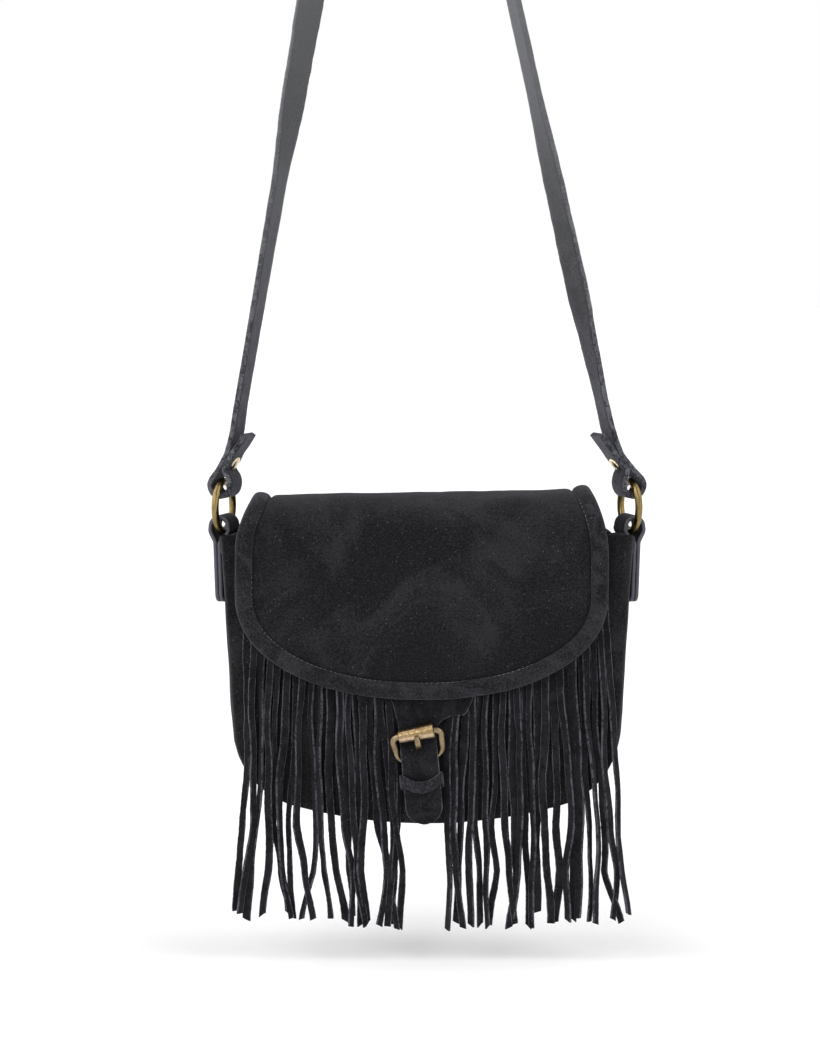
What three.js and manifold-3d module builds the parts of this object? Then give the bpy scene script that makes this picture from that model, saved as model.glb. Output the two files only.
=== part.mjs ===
// Fringed suede shoulder bag hung by its strap: a soft pouch under an arched, bound flap, two rows of
// cut fringe, a roller buckle closure, and a strap looped through two round rings.
// Millimetres, +Z up, front towards -Y. The origin is where the strap rests on its hook.

import * as THREE from "three";
import { mergeVertices } from "three/addons/utils/BufferGeometryUtils.js";
import Module from "manifold-3d";

const wasm = await Module();
wasm.setup();

// Clearances
const seamGap = 0.3;
const runningGap = 0.35;

// Pouch
const pouchHeight = 157;
const frontTopHalfWidth = 111;
const frontFootHalfWidth = 101;
const backTopHalfWidth = 98;
const backFootHalfWidth = 99;
const mouthHalfDepth = 22;
const footHalfDepth = 27;
const cornerRadius = 43;
const bottomRadius = 272;
const panelThickness = 2.2;
const panelBulge = 4.5;
const bulgePower = 2.4;
const gussetThickness = 2.2;
const gussetSideBow = 4.8;
const gussetFootBow = 2.5;
const gussetBowHeight = 60;
const gussetDip = 7;

// Flap and its binding
const flapThickness = 2.2;
const flapShift = -2.9;
const flapSideInset = 11.1;
const flapFoldInset = 6;
const flapHalfWidth = frontTopHalfWidth - flapSideInset;
const flapFoldHalfWidth = backTopHalfWidth - flapFoldInset;
const flapShoulderDrop = 9;
const flapSideDrop = 32;
const flapShoulderHeight = pouchHeight - flapShoulderDrop;
const flapCurveHeight = pouchHeight - flapSideDrop;
const flapTipHeight = 70;
const flapRoundness = 2.15;
const flapRise = 18.4;
const flapBackSeam = 18;
const bindingWidth = 9.3;
const bindingLeather = 1.2;

// Fringe
const fringeThickness = 1.6;
const fringeBandTop = 131;
const fringeBandBottom = 118;
const fringeEnd = -51;
const fringeEndSpread = 7;
const strandWidth = 3.4;
const fringeLowTurn = 96;
const strandSway = 1.1;
const leftStrandCount = 21;
const rightStrandCount = 23;
const fringeOuterTop = 94.5;
const fringeLeftOuterEnd = 98;
const fringeRightOuterEnd = 111;

// Closure
const closureStrapWidth = 20;
const closureStrapThickness = 1.8;
const closureShift = -5.2;
const closureTilt = THREE.MathUtils.degToRad(5);
const closureFlareHalfWidth = 23;
const closureHidden = 24;
const closureTip = 1.6;
const closureNeckDrop = 14;
const chapeThickness = 1.6;
const chapeWidth = 18;
const chapeEnd = 8;
const chapeSlotWidth = 6;
const rollerHeight = 52.1;
const barSpacing = 15.2;
const frameWireRadius = 1.8;
const frameInnerWidth = 22.6;
const frameTopCornerRadius = 3.5;
const frameFootCornerRadius = 5.2;
const frameTilt = THREE.MathUtils.degToRad(6);
const rollerRadius = 3.3;
const rollerLength = 19.6;
const prongWidth = 3.4;
const prongThickness = 2;
const keeperHeight = 23;
const keeperBand = 7.2;
const keeperThickness = 1.3;

// Rings, tabs and strap
const ringRadius = 13.4;
const ringWireRadius = 2;
const ringAboveMouth = 13.4;
const ringHeight = pouchHeight + ringAboveMouth;
const swingRange = THREE.MathUtils.degToRad(18);
const foldPlay = 0.85;
const tabWidth = 16;
const tabLeather = 2.2;
const tabBelowMouth = 39;
const tabEnd = pouchHeight - tabBelowMouth;
const tabCorner = 5;
const tabEyeHalfWidth = 4;
const tabEyeStraight = 1.8;
const tabEyeShift = -1.2;
const strapWidth = 15;
const strapThickness = 2.8;
const strapEyeHalfWidth = 4.5;
const strapEyeShift = 0.5;
const strapDrop = 520;
const crownShift = -15.8;
const hookRadius = 9;
const rightLean = 0.107;
const rivetHeight = 25;
const rivetSeatHalf = 4.4;
const tailTipReach = 13.8;
const tailTipRise = 14.4;
const tailBendReach = 9.8;
const tailBendRise = 8.4;
const runBendReach = 6.6;
const runBendRise = 15.7;
const runTopReach = 8.6;
const runTopRise = 28.5;
const rivetPostRadius = 1.5;
const rivetHeadRadius = 3.6;
const rivetHeadHeight = 1.2;

const suede = new THREE.MeshStandardMaterial({ color: 0x1d1c1f, roughness: 0.95, metalness: 0 });
const cutSuede = new THREE.MeshStandardMaterial({ color: 0x26262a, roughness: 0.9, metalness: 0 });
const brass = new THREE.MeshStandardMaterial({ color: 0x9a8350, roughness: 0.35, metalness: 1 });
const paleBrass = new THREE.MeshStandardMaterial({ color: 0xd9c9ac, roughness: 0.3, metalness: 1 });

const lerp = THREE.MathUtils.lerp;
const point = (x, y, z) => new THREE.Vector3(x, y, z);

// Closed meshes from lists of points and triangles

function facingOut(geometry) {
  const spot = geometry.attributes.position;
  const index = geometry.index.array;
  const corner = [point(0, 0, 0), point(0, 0, 0), point(0, 0, 0)];
  let volume = 0;
  for (let i = 0; i < index.length; i += 3) {
    corner.forEach((vector, k) => vector.fromBufferAttribute(spot, index[i + k]));
    volume += corner[0].dot(corner[1].clone().cross(corner[2]));
  }
  if (volume < 0) {
    for (let i = 0; i < index.length; i += 3) {
      [index[i], index[i + 1]] = [index[i + 1], index[i]];
    }
  }
  return geometry;
}

function withoutSlivers(geometry) {
  const index = geometry.index.array;
  const kept = [];
  for (let i = 0; i < index.length; i += 3) {
    const [a, b, c] = [index[i], index[i + 1], index[i + 2]];
    if (a !== b && b !== c && c !== a) kept.push(a, b, c);
  }
  geometry.setIndex(kept);
  return geometry;
}

function meshFrom(points, triangles) {
  const geometry = new THREE.BufferGeometry();
  geometry.setAttribute("position", new THREE.Float32BufferAttribute(points.flatMap((p) => p.toArray()), 3));
  geometry.setIndex(triangles);
  return facingOut(withoutSlivers(mergeVertices(geometry, 1e-3)));
}

// A sheet between an outer and an inner grid of points, walled along its free edges.
function sheetBetween(outer, inner, closedColumns = false) {
  const rows = outer.length;
  const columns = outer[0].length;
  const points = [...outer.flat(), ...inner.flat()];
  const out = (r, c) => r * columns + (c % columns);
  const back = (r, c) => rows * columns + out(r, c);
  const triangles = [];
  const quad = (a, b, c, d) => triangles.push(a, b, c, a, c, d);
  const lastRow = rows - 1;
  const lastColumn = closedColumns ? columns : columns - 1;
  for (let c = 0; c < lastColumn; c += 1) {
    for (let r = 0; r < lastRow; r += 1) {
      quad(out(r, c), out(r, c + 1), out(r + 1, c + 1), out(r + 1, c));
      quad(back(r, c), back(r + 1, c), back(r + 1, c + 1), back(r, c + 1));
    }
    quad(out(0, c + 1), out(0, c), back(0, c), back(0, c + 1));
    quad(out(lastRow, c), out(lastRow, c + 1), back(lastRow, c + 1), back(lastRow, c));
  }
  if (!closedColumns) {
    for (let r = 0; r < lastRow; r += 1) {
      quad(out(r, 0), out(r + 1, 0), back(r + 1, 0), back(r, 0));
      quad(out(r + 1, lastColumn), out(r, lastColumn), back(r, lastColumn), back(r + 1, lastColumn));
    }
  }
  return meshFrom(points, triangles);
}

// A solid swept through sections, each a closed ring of the same number of points.
function sweptThrough(sections, outline = null, closedPath = false) {
  const sides = sections[0].length;
  const points = sections.flat();
  const at = (k, j) => (k % sections.length) * sides + (j % sides);
  const triangles = [];
  const last = closedPath ? sections.length : sections.length - 1;
  for (let k = 0; k < last; k += 1) {
    for (let j = 0; j < sides; j += 1) {
      triangles.push(at(k, j), at(k, j + 1), at(k + 1, j + 1), at(k, j), at(k + 1, j + 1), at(k + 1, j));
    }
  }
  if (!closedPath) {
    for (const [a, b, c] of capTriangles(outline, sides)) {
      triangles.push(at(0, a), at(0, c), at(0, b), at(last, a), at(last, b), at(last, c));
    }
  }
  return meshFrom(points, triangles);
}

function capTriangles(outline, sides) {
  if (!outline) {
    return Array.from({ length: sides - 2 }, (_, j) => [0, j + 1, j + 2]);
  }
  const isClockwise = THREE.ShapeUtils.isClockWise(outline);
  const faces = THREE.ShapeUtils.triangulateShape(outline, []);
  const turn = ([a, b, c]) => {
    const clockwise = THREE.ShapeUtils.isClockWise([outline[a], outline[b], outline[c]]);
    return clockwise === isClockwise ? [a, b, c] : [a, c, b];
  };
  return faces.map(turn);
}

// A flat strip: its middle line, the direction of its width, its width and its thickness.
function strip(path, widthDirection, width, thickness) {
  const sections = path.map((middle, k) => {
    const ahead = path[Math.min(k + 1, path.length - 1)].clone();
    const tangent = ahead.sub(path[Math.max(k - 1, 0)]).normalize();
    const across = widthDirection(k).clone();
    across.addScaledVector(tangent, -across.dot(tangent)).normalize();
    const out = tangent.clone().cross(across);
    const half = (typeof width === "function" ? width(k) : width) / 2;
    return [[1, 1], [-1, 1], [-1, -1], [1, -1]].map(([w, t]) =>
      middle.clone().addScaledVector(across, w * half).addScaledVector(out, (t * thickness) / 2));
  });
  return sweptThrough(sections);
}

function bareMesh(geometry) {
  const bare = geometry.clone();
  bare.deleteAttribute("normal");
  bare.deleteAttribute("uv");
  return mergeVertices(bare, 1e-4);
}

function solidOf(geometry) {
  const merged = bareMesh(geometry);
  return new wasm.Manifold(new wasm.Mesh({
    numProp: 3,
    vertProperties: Float32Array.from(merged.attributes.position.array),
    triVerts: Uint32Array.from(merged.index.array),
  }));
}

function geometryOf(solid) {
  const mesh = solid.getMesh();
  const geometry = new THREE.BufferGeometry();
  geometry.setAttribute("position", new THREE.Float32BufferAttribute(mesh.vertProperties, 3));
  geometry.setIndex(Array.from(mesh.triVerts));
  return geometry;
}

function joined(geometries) {
  return geometryOf(geometries.map(solidOf).reduce((sum, next) => sum.add(next)));
}

function cut(geometry, ...tools) {
  return geometryOf(tools.map(solidOf).reduce((rest, tool) => rest.subtract(tool), solidOf(geometry)));
}

function placed(geometry, matrix) {
  return geometry.clone().applyMatrix4(matrix);
}

function block(width, depth, height, centre) {
  return new THREE.BoxGeometry(width, depth, height).translate(centre.x, centre.y, centre.z);
}

const bag = new THREE.Group();

function addPiece(name, geometry, material, parent = bag) {
  const mesh = new THREE.Mesh(geometry, material);
  mesh.name = name;
  parent.add(mesh);
  return mesh;
}

// The pouch: two panels sewn to a gusset that runs down one side, along the foot and up the other

const halfDepthAt = (z) => lerp(footHalfDepth, mouthHalfDepth, z / pouchHeight);

// Half of a panel's outline, from the mouth down the side, round the corner and to the middle of the foot.
function halfOutline(topHalfWidth, footHalfWidth) {
  const slope = (topHalfWidth - footHalfWidth) / pouchHeight;
  const sideAngle = Math.atan(slope);
  const inset = footHalfWidth - cornerRadius / Math.cos(sideAngle);
  const square = 1 + slope * slope;
  const linear = 2 * (inset * slope - bottomRadius);
  const rest = inset ** 2 + bottomRadius ** 2 - (bottomRadius - cornerRadius) ** 2;
  const cornerZ = (-linear - Math.sqrt(linear ** 2 - 4 * square * rest)) / (2 * square);
  const cornerX = inset + slope * cornerZ;
  const endAngle = Math.atan2(cornerZ - bottomRadius, cornerX);
  const tangentZ = cornerZ - cornerRadius * Math.sin(sideAngle);
  const outline = [];
  const sideSteps = 6;
  for (let i = 0; i < sideSteps; i += 1) {
    const z = lerp(pouchHeight, tangentZ, i / sideSteps);
    outline.push(new THREE.Vector2(footHalfWidth + slope * z, z));
  }
  const cornerSteps = 7;
  for (let i = 0; i < cornerSteps; i += 1) {
    const angle = lerp(-sideAngle, endAngle, i / cornerSteps);
    const fromCorner = new THREE.Vector2(Math.cos(angle), Math.sin(angle)).multiplyScalar(cornerRadius);
    outline.push(fromCorner.add(new THREE.Vector2(cornerX, cornerZ)));
  }
  const footSteps = 5;
  for (let i = 0; i <= footSteps; i += 1) {
    const angle = lerp(endAngle, -Math.PI / 2, i / footSteps);
    outline.push(new THREE.Vector2(bottomRadius * Math.cos(angle), bottomRadius * (1 + Math.sin(angle))));
  }
  return outline;
}

function openOutline(topHalfWidth, footHalfWidth) {
  const right = halfOutline(topHalfWidth, footHalfWidth);
  const left = right.slice(0, -1).reverse().map((p) => new THREE.Vector2(-p.x, p.y));
  return [...right, ...left];
}

function bulgeAt(x, z) {
  const middle = pouchHeight / 2;
  const across = 1 - Math.abs(x / frontTopHalfWidth) ** bulgePower;
  const along = 1 - Math.abs((z - middle) / middle) ** bulgePower;
  return panelBulge * Math.max(0, across) * Math.max(0, along);
}

const panelDepthAt = (x, z) => halfDepthAt(z) + seamGap + panelThickness + bulgeAt(x, z);

// side is -1 for the front and 1 for the back
function panel(side, topHalfWidth, footHalfWidth) {
  const rim = openOutline(topHalfWidth, footHalfWidth);
  const mouthSteps = 8;
  for (let i = 1; i < mouthSteps; i += 1) {
    rim.push(new THREE.Vector2(lerp(-topHalfWidth, topHalfWidth, i / mouthSteps), pouchHeight));
  }
  const middle = new THREE.Vector2(0, pouchHeight / 2);
  const surface = (thickness) => [1, 0.9, 0.72, 0.46, 0].map((share) => rim.map((edge) => {
    const spot = middle.clone().lerp(edge, share);
    const bulge = bulgeAt(spot.x, spot.y) * (1 - share ** 6);
    return point(spot.x, side * (halfDepthAt(spot.y) + seamGap + bulge + thickness), spot.y);
  }));
  return sheetBetween(surface(panelThickness), surface(0), true);
}

function gusset() {
  const front = openOutline(frontTopHalfWidth, frontFootHalfWidth);
  const back = openOutline(backTopHalfWidth, backFootHalfWidth);
  const last = front.length - 1;
  const normalAt = (outline, k) => {
    const ahead = outline[Math.min(k + 1, last)].clone();
    const along = ahead.sub(outline[Math.max(k - 1, 0)]).normalize();
    return new THREE.Vector2(-along.y, along.x);
  };
  const shares = [0, 0.25, 0.5, 0.75, 1];
  const surface = (inset) => front.map((edge, k) => shares.map((share) => {
    const spot = edge.clone().lerp(back[k], share);
    const normal = normalAt(front, k).lerp(normalAt(back, k), share).normalize();
    const arch = 4 * share * (1 - share);
    const bow = lerp(gussetFootBow, gussetSideBow, Math.min(1, spot.y / gussetBowHeight));
    const halfDepth = halfDepthAt(spot.y);
    spot.addScaledVector(normal, bow * arch - inset);
    const isMouth = k === 0 || k === last;
    const height = isMouth ? pouchHeight - gussetDip * arch : spot.y;
    return point(spot.x, lerp(-halfDepth, halfDepth, share), height);
  }));
  return sheetBetween(surface(0), surface(gussetThickness));
}

addPiece("front_panel", panel(-1, frontTopHalfWidth, frontFootHalfWidth), suede);
addPiece("back_panel", panel(1, backTopHalfWidth, backFootHalfWidth), suede);
addPiece("gusset", gusset(), suede);

// The flap: one sheet from a seam on the back, over the mouth in an arch and down the front.
// A spot on it is (x, s): s is the height on the front, then runs on over the arch and down the back.

const bindingProud = seamGap + bindingLeather;
const bindingHalf = flapThickness / 2 + bindingProud;
const layersUnderFlap = 2 * seamGap + fringeThickness + seamGap + closureStrapThickness + seamGap;
const flapFrontDepth = (x, z) => panelDepthAt(x, z) + layersUnderFlap + bindingHalf;
const flapBackDepth = (x, z) => panelDepthAt(x, z) + seamGap + flapThickness / 2;
const archHalfDepth = (flapFrontDepth(0, pouchHeight) + flapBackDepth(0, pouchHeight)) / 2;
const archMiddle = flapBackDepth(0, pouchHeight) - archHalfDepth;
const archHalfHeight = flapRise + flapThickness / 2;
const archLength = Math.PI * Math.sqrt((archHalfDepth ** 2 + archHalfHeight ** 2) / 2);
const archEnd = pouchHeight + archLength;
const flapStart = archEnd + flapBackSeam;

// lift is the distance out of the flap's middle surface
function onFlap(x, s, lift) {
  if (s <= pouchHeight) return point(x, -flapFrontDepth(x, s) - lift, s);
  if (s <= archEnd) {
    const angle = (Math.PI * (s - pouchHeight)) / archLength;
    return point(
      x,
      archMiddle - (archHalfDepth + lift) * Math.cos(angle),
      pouchHeight + (archHalfHeight + lift) * Math.sin(angle),
    );
  }
  const z = pouchHeight - (s - archEnd);
  return point(x, flapBackDepth(x, z) + lift, z);
}

function flapHalfWidthAt(s) {
  const narrowed = THREE.MathUtils.smoothstep(s, flapShoulderHeight, pouchHeight + archLength / 2);
  return lerp(flapHalfWidth, flapFoldHalfWidth, narrowed);
}

// Half of the flap's edge, from the back seam to the middle of its tip, drawn in by inset.
function halfFlapEdge(inset) {
  const edge = [];
  const straight = [flapStart, archEnd];
  const archSteps = 9;
  for (let i = 1; i < archSteps; i += 1) straight.push(archEnd - (archLength * i) / archSteps);
  for (const share of [1, 0.6, 0.3]) straight.push(lerp(flapCurveHeight, pouchHeight, share));
  for (const s of straight) edge.push(new THREE.Vector2(flapHalfWidthAt(s) - inset, s));
  const curveSteps = 13;
  const drop = flapCurveHeight - flapTipHeight - inset;
  for (let i = 0; i <= curveSteps; i += 1) {
    const angle = (Math.PI / 2) * (i / curveSteps);
    const across = Math.max(0, Math.cos(angle)) ** (2 / flapRoundness);
    const along = Math.sin(angle) ** (2 / flapRoundness);
    edge.push(new THREE.Vector2((flapHalfWidth - inset) * across, flapCurveHeight - drop * along));
  }
  return edge;
}

function flapSheet() {
  const inset = bindingLeather + 2 * seamGap;
  const columns = 10;
  const surface = (lift) => halfFlapEdge(inset).map((edge) => {
    const row = [];
    for (let c = 0; c <= columns; c += 1) {
      const x = flapShift + edge.x * lerp(-1, 1, c / columns);
      row.push(onFlap(x, edge.y, lift));
    }
    return row;
  });
  return sheetBetween(surface(flapThickness / 2), surface(-flapThickness / 2));
}

// The binding is a strip folded over the flap's edge: a channel section, open inwards. It starts where
// the flap has left its seam on the back.
function flapBinding() {
  const right = halfFlapEdge(0).filter((spot) => spot.y < archEnd);
  const left = right.slice(0, -1).reverse().map((p) => new THREE.Vector2(-p.x, p.y));
  const edge = [...right, ...left];
  const last = edge.length - 1;
  const slotHalf = flapThickness / 2 + seamGap;
  const slotFloor = bindingLeather;
  const chamfer = bindingLeather;
  const section = [
    [bindingWidth, bindingHalf], [chamfer, bindingHalf], [0, bindingHalf - chamfer],
    [0, chamfer - bindingHalf], [chamfer, -bindingHalf], [bindingWidth, -bindingHalf],
    [bindingWidth, -slotHalf], [slotFloor, -slotHalf], [slotFloor, slotHalf], [bindingWidth, slotHalf],
  ].map(([inward, lift]) => new THREE.Vector2(inward, lift));
  const sections = edge.map((spot, k) => {
    const ahead = edge[Math.min(k + 1, last)].clone();
    const along = ahead.sub(edge[Math.max(k - 1, 0)]).normalize();
    const isStraight = spot.y > flapCurveHeight;
    if (isStraight) along.set(0, -Math.sign(spot.x));
    const inward = new THREE.Vector2(along.y, -along.x);
    return section.map((corner) => {
      const x = flapShift + spot.x + inward.x * corner.x;
      return onFlap(x, spot.y + inward.y * corner.x, corner.y);
    });
  });
  return sweptThrough(sections, section);
}

addPiece("flap", flapSheet(), suede);
addPiece("flap_binding", flapBinding(), suede);

// The fringe: a band sewn under the flap and cut into strands below it. The strands start beside the
// closure and drop from the flap's underside onto the front panel.

const keeperReach = closureStrapWidth / 2 + 2 * seamGap + keeperThickness;
const keeperMiddle = closureShift + (rollerHeight - keeperHeight) * Math.sin(closureTilt);
const besideKeeper = keeperReach + strandWidth / 2 + strandSway + seamGap;

function fringe(side, count, outerEnd) {
  const bandOut = layersUnderFlap - seamGap - fringeThickness / 2 - 0.2;
  const hangOut = 2 * seamGap + fringeThickness / 2;
  const depthAt = (x, z) => {
    const share = THREE.MathUtils.clamp((z - fringeLowTurn) / (fringeBandBottom - fringeLowTurn), 0, 1);
    return panelDepthAt(x, Math.max(z, 0)) + lerp(hangOut, bandOut, share);
  };
  const inner = keeperMiddle + side * besideKeeper;
  const outer = flapShift + side * fringeOuterTop;
  const bandStart = inner - (side * strandWidth) / 2;
  const bandFinish = outer + (side * strandWidth) / 2;
  const bandSteps = 8;
  const bandHalf = fringeThickness / 2 + 0.05;
  const bandSurface = (lift) => [fringeBandTop, fringeBandBottom].map((z) =>
    Array.from({ length: bandSteps + 1 }, (_, k) => {
      const x = lerp(bandStart, bandFinish, k / bandSteps);
      return point(x, -depthAt(x, z) - lift, z);
    }));
  const band = sheetBetween(bandSurface(bandHalf), bandSurface(-bandHalf));
  const across = point(1, 0, 0);
  const strands = Array.from({ length: count }, (_, i) => {
    const share = i / (count - 1);
    const startX = lerp(inner, outer, share);
    const endX = lerp(inner, side * outerEnd, share);
    const endZ = fringeEnd + fringeEndSpread * Math.sin(i * 2.4) * Math.cos(i * 0.9);
    const levels = [fringeBandBottom + 2, fringeLowTurn, 62, 28, 0, -25, endZ];
    const path = levels.map((z) => {
      const level = (fringeBandBottom + 2 - z) / (fringeBandBottom + 2 - endZ);
      const x = lerp(startX, endX, level) + strandSway * level * Math.sin(level * 5 + i * 0.35);
      return point(x, -depthAt(x, z), z);
    });
    return strip(path, () => across, strandWidth, fringeThickness);
  });
  return joined([band, ...strands]);
}

addPiece("fringe_left", fringe(-1, leftStrandCount, fringeLeftOuterEnd), cutSuede);
addPiece("fringe_right", fringe(1, rightStrandCount, fringeRightOuterEnd), cutSuede);

// The closure: its own group, leaning a little, with the middle of the buckle's roller bar as its pivot.
// In it a place is (across, out, height): out is the distance in front of the front panel.

const closure = new THREE.Group();
closure.position.set(closureShift, 0, rollerHeight);
closure.rotation.y = -closureTilt;
bag.add(closure);
const inClosure = (across, out, z) => point(across, -panelDepthAt(0, Math.max(z, 0)) - out, z - rollerHeight);

const chapeInner = seamGap + keeperThickness + 2 * seamGap;
const chapeOuter = chapeInner + 2 * chapeThickness;
const barOut = seamGap + chapeThickness + runningGap + frameWireRadius;
const strapOut = layersUnderFlap - seamGap - closureStrapThickness / 2;
const rollerOut = strapOut + closureStrapThickness / 2 + 2 * runningGap + rollerRadius;
const barDrop = Math.sqrt(barSpacing ** 2 - (rollerOut - barOut) ** 2);
const barHeight = rollerHeight - barDrop;
const chapeOverBar = barOut + frameWireRadius + runningGap + chapeThickness;
const strapOverBar = chapeOverBar + seamGap + closureStrapThickness / 2;
const strapOverChape = chapeOuter + seamGap + closureStrapThickness / 2;

function smoothPath(points, steps) {
  return new THREE.CatmullRomCurve3(points, false, "centripetal").getPoints(steps);
}

// The closure strap comes from under the flap, dives behind the roller, rises over the bar and lies
// down on the chape, ending in a round tip. It flares where it joins the flap.
function closureStrap() {
  const top = flapTipHeight + closureHidden;
  const stations = [
    [top, strapOut], [flapTipHeight, strapOut], [rollerHeight + 5, strapOut],
    [rollerHeight, strapOut - 0.1], [rollerHeight - rollerRadius, strapOut + 0.6],
    [lerp(barHeight, rollerHeight, 0.4), lerp(strapOverBar, strapOut, 0.42)],
    [barHeight + 1, strapOverBar], [barHeight - 4, strapOverBar - 0.4],
    [keeperHeight + 4.5, strapOverChape + 0.2], [keeperHeight - 5, strapOverChape],
    [chapeEnd, strapOverChape], [closureTip, strapOverChape],
  ];
  const middleLine = stations.map(([z, out]) => inClosure(0, out, z));
  const line = new THREE.CatmullRomCurve3(middleLine, false, "centripetal");
  const neck = flapTipHeight - closureNeckDrop;
  const tipRadius = closureStrapWidth / 2;
  const steps = 44;
  const flareLean = -closureShift / (flapTipHeight - neck);
  const left = [];
  const right = [];
  for (let i = 0; i <= steps; i += 1) {
    const spot = line.getPointAt(i / steps);
    const z = spot.z + rollerHeight;
    const upFlare = THREE.MathUtils.clamp((z - neck) / (flapTipHeight + 4 - neck), 0, 1);
    const flare = 1 - Math.sqrt(1 - upFlare ** 2);
    const fromTip = z - closureTip;
    const round = fromTip < tipRadius ? Math.sqrt(Math.max(0.02, 1 - (1 - fromTip / tipRadius) ** 2)) : 1;
    const half = (closureStrapWidth / 2) * round + (closureFlareHalfWidth - closureStrapWidth / 2) * flare;
    const lean = Math.max(0, z - neck) * flareLean;
    const middle = Math.min(lean, -closureShift);
    left.push(spot.clone().setX(middle - half));
    right.push(spot.clone().setX(middle + half));
  }
  const widths = left.map((spot, k) => right[k].x - spot.x);
  const path = left.map((spot, k) => spot.clone().add(right[k]).multiplyScalar(0.5));
  const across = point(1, 0, 0);
  return strip(path, () => across, (k) => widths[k], closureStrapThickness);
}

const slotHeight = lerp(barHeight, rollerHeight, 0.28);
const prongSlot = block(prongWidth + 2.4, 12, 10, inClosure(0, strapOut + 2, slotHeight));
addPiece("closure_strap", cut(closureStrap(), prongSlot), suede, closure);

// The buckle frame is one loop of round wire; it tips back from the roller bar to the bar in the chape.
const buckle = new THREE.Group();
const rollerSpot = inClosure(0, rollerOut, rollerHeight);
const barSpot = inClosure(0, barOut, barHeight);
buckle.position.copy(rollerSpot.clone().add(barSpot).multiplyScalar(0.5));
buckle.rotation.y = -frameTilt;
closure.add(buckle);
const leaning = new THREE.Group();
leaning.rotation.x = Math.atan2(barSpot.y - rollerSpot.y, rollerSpot.z - barSpot.z);
buckle.add(leaning);
const tipped = new THREE.Group();
tipped.position.z = barSpacing / 2;
leaning.add(tipped);

function frameLoop() {
  const half = frameInnerWidth / 2 + frameWireRadius;
  const cornerSteps = 4;
  const corners = [
    [1, 0, frameTopCornerRadius, 0], [-1, 0, frameTopCornerRadius, 1],
    [-1, -barSpacing, frameFootCornerRadius, 2], [1, -barSpacing, frameFootCornerRadius, 3],
  ];
  const middle = corners.flatMap(([side, bar, radius, quarter]) => {
    const centre = point(side * (half - radius), 0, bar + (bar < 0 ? radius : -radius));
    return Array.from({ length: cornerSteps + 1 }, (_, i) => {
      const angle = (Math.PI / 2) * (quarter + i / cornerSteps);
      return point(radius * Math.cos(angle), 0, radius * Math.sin(angle)).add(centre);
    });
  });
  const count = middle.length;
  const sections = middle.map((spot, k) => {
    const before = middle[(k + count - 1) % count];
    const along = middle[(k + 1) % count].clone().sub(before).normalize();
    const out = along.clone().cross(point(0, 1, 0));
    return Array.from({ length: 10 }, (_, j) => {
      const angle = (2 * Math.PI * j) / 10;
      const ring = spot.clone().addScaledVector(out, frameWireRadius * Math.cos(angle));
      return ring.add(point(0, frameWireRadius * Math.sin(angle), 0));
    });
  });
  return sweptThrough(sections, null, true);
}
addPiece("buckle_frame", frameLoop(), brass, tipped);

// The roller turns freely on the frame's upper bar.
function roller() {
  const bore = frameWireRadius + runningGap;
  const half = rollerLength / 2;
  const edge = 0.6;
  const profile = [
    [bore, -half], [rollerRadius - edge, -half], [rollerRadius, -half + edge],
    [rollerRadius, half - edge], [rollerRadius - edge, half], [bore, half], [bore, -half],
  ].map(([r, along]) => new THREE.Vector2(r, along));
  return new THREE.LatheGeometry(profile, 20).rotateZ(Math.PI / 2);
}
addPiece("buckle_roller", roller(), brass, tipped);

// The prong hooks round the lower bar, comes through the strap's slot and rests on the roller.
function prong() {
  const eyeInner = frameWireRadius + runningGap;
  const eyeOuter = eyeInner + 1.4;
  const half = prongWidth / 2;
  const eyeProfile = [
    [eyeInner, -half], [eyeOuter, -half], [eyeOuter, half], [eyeInner, half], [eyeInner, -half],
  ].map(([r, along]) => new THREE.Vector2(r, along));
  const eye = new THREE.LatheGeometry(eyeProfile, 18);
  eye.rotateZ(Math.PI / 2).translate(0, 0, -barSpacing);
  const rest = rollerRadius + seamGap + prongThickness / 2;
  const tongue = strip(smoothPath([
    point(0, -(eyeInner + 0.75), -barSpacing - 0.5),
    point(0, -(eyeInner + 0.95), -barSpacing + 3),
    point(0, -(eyeInner + 2.3), -barSpacing + 7),
    point(0, -rest + 1.1, -4.6),
    point(0, -rest, -0.6),
    point(0, -rest + 0.7, 2.4),
  ], 12), () => point(1, 0, 0), prongWidth - 0.1, prongThickness - 0.3);
  return joined([eye, tongue]);
}
addPiece("buckle_prong", prong(), brass, tipped);

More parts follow.
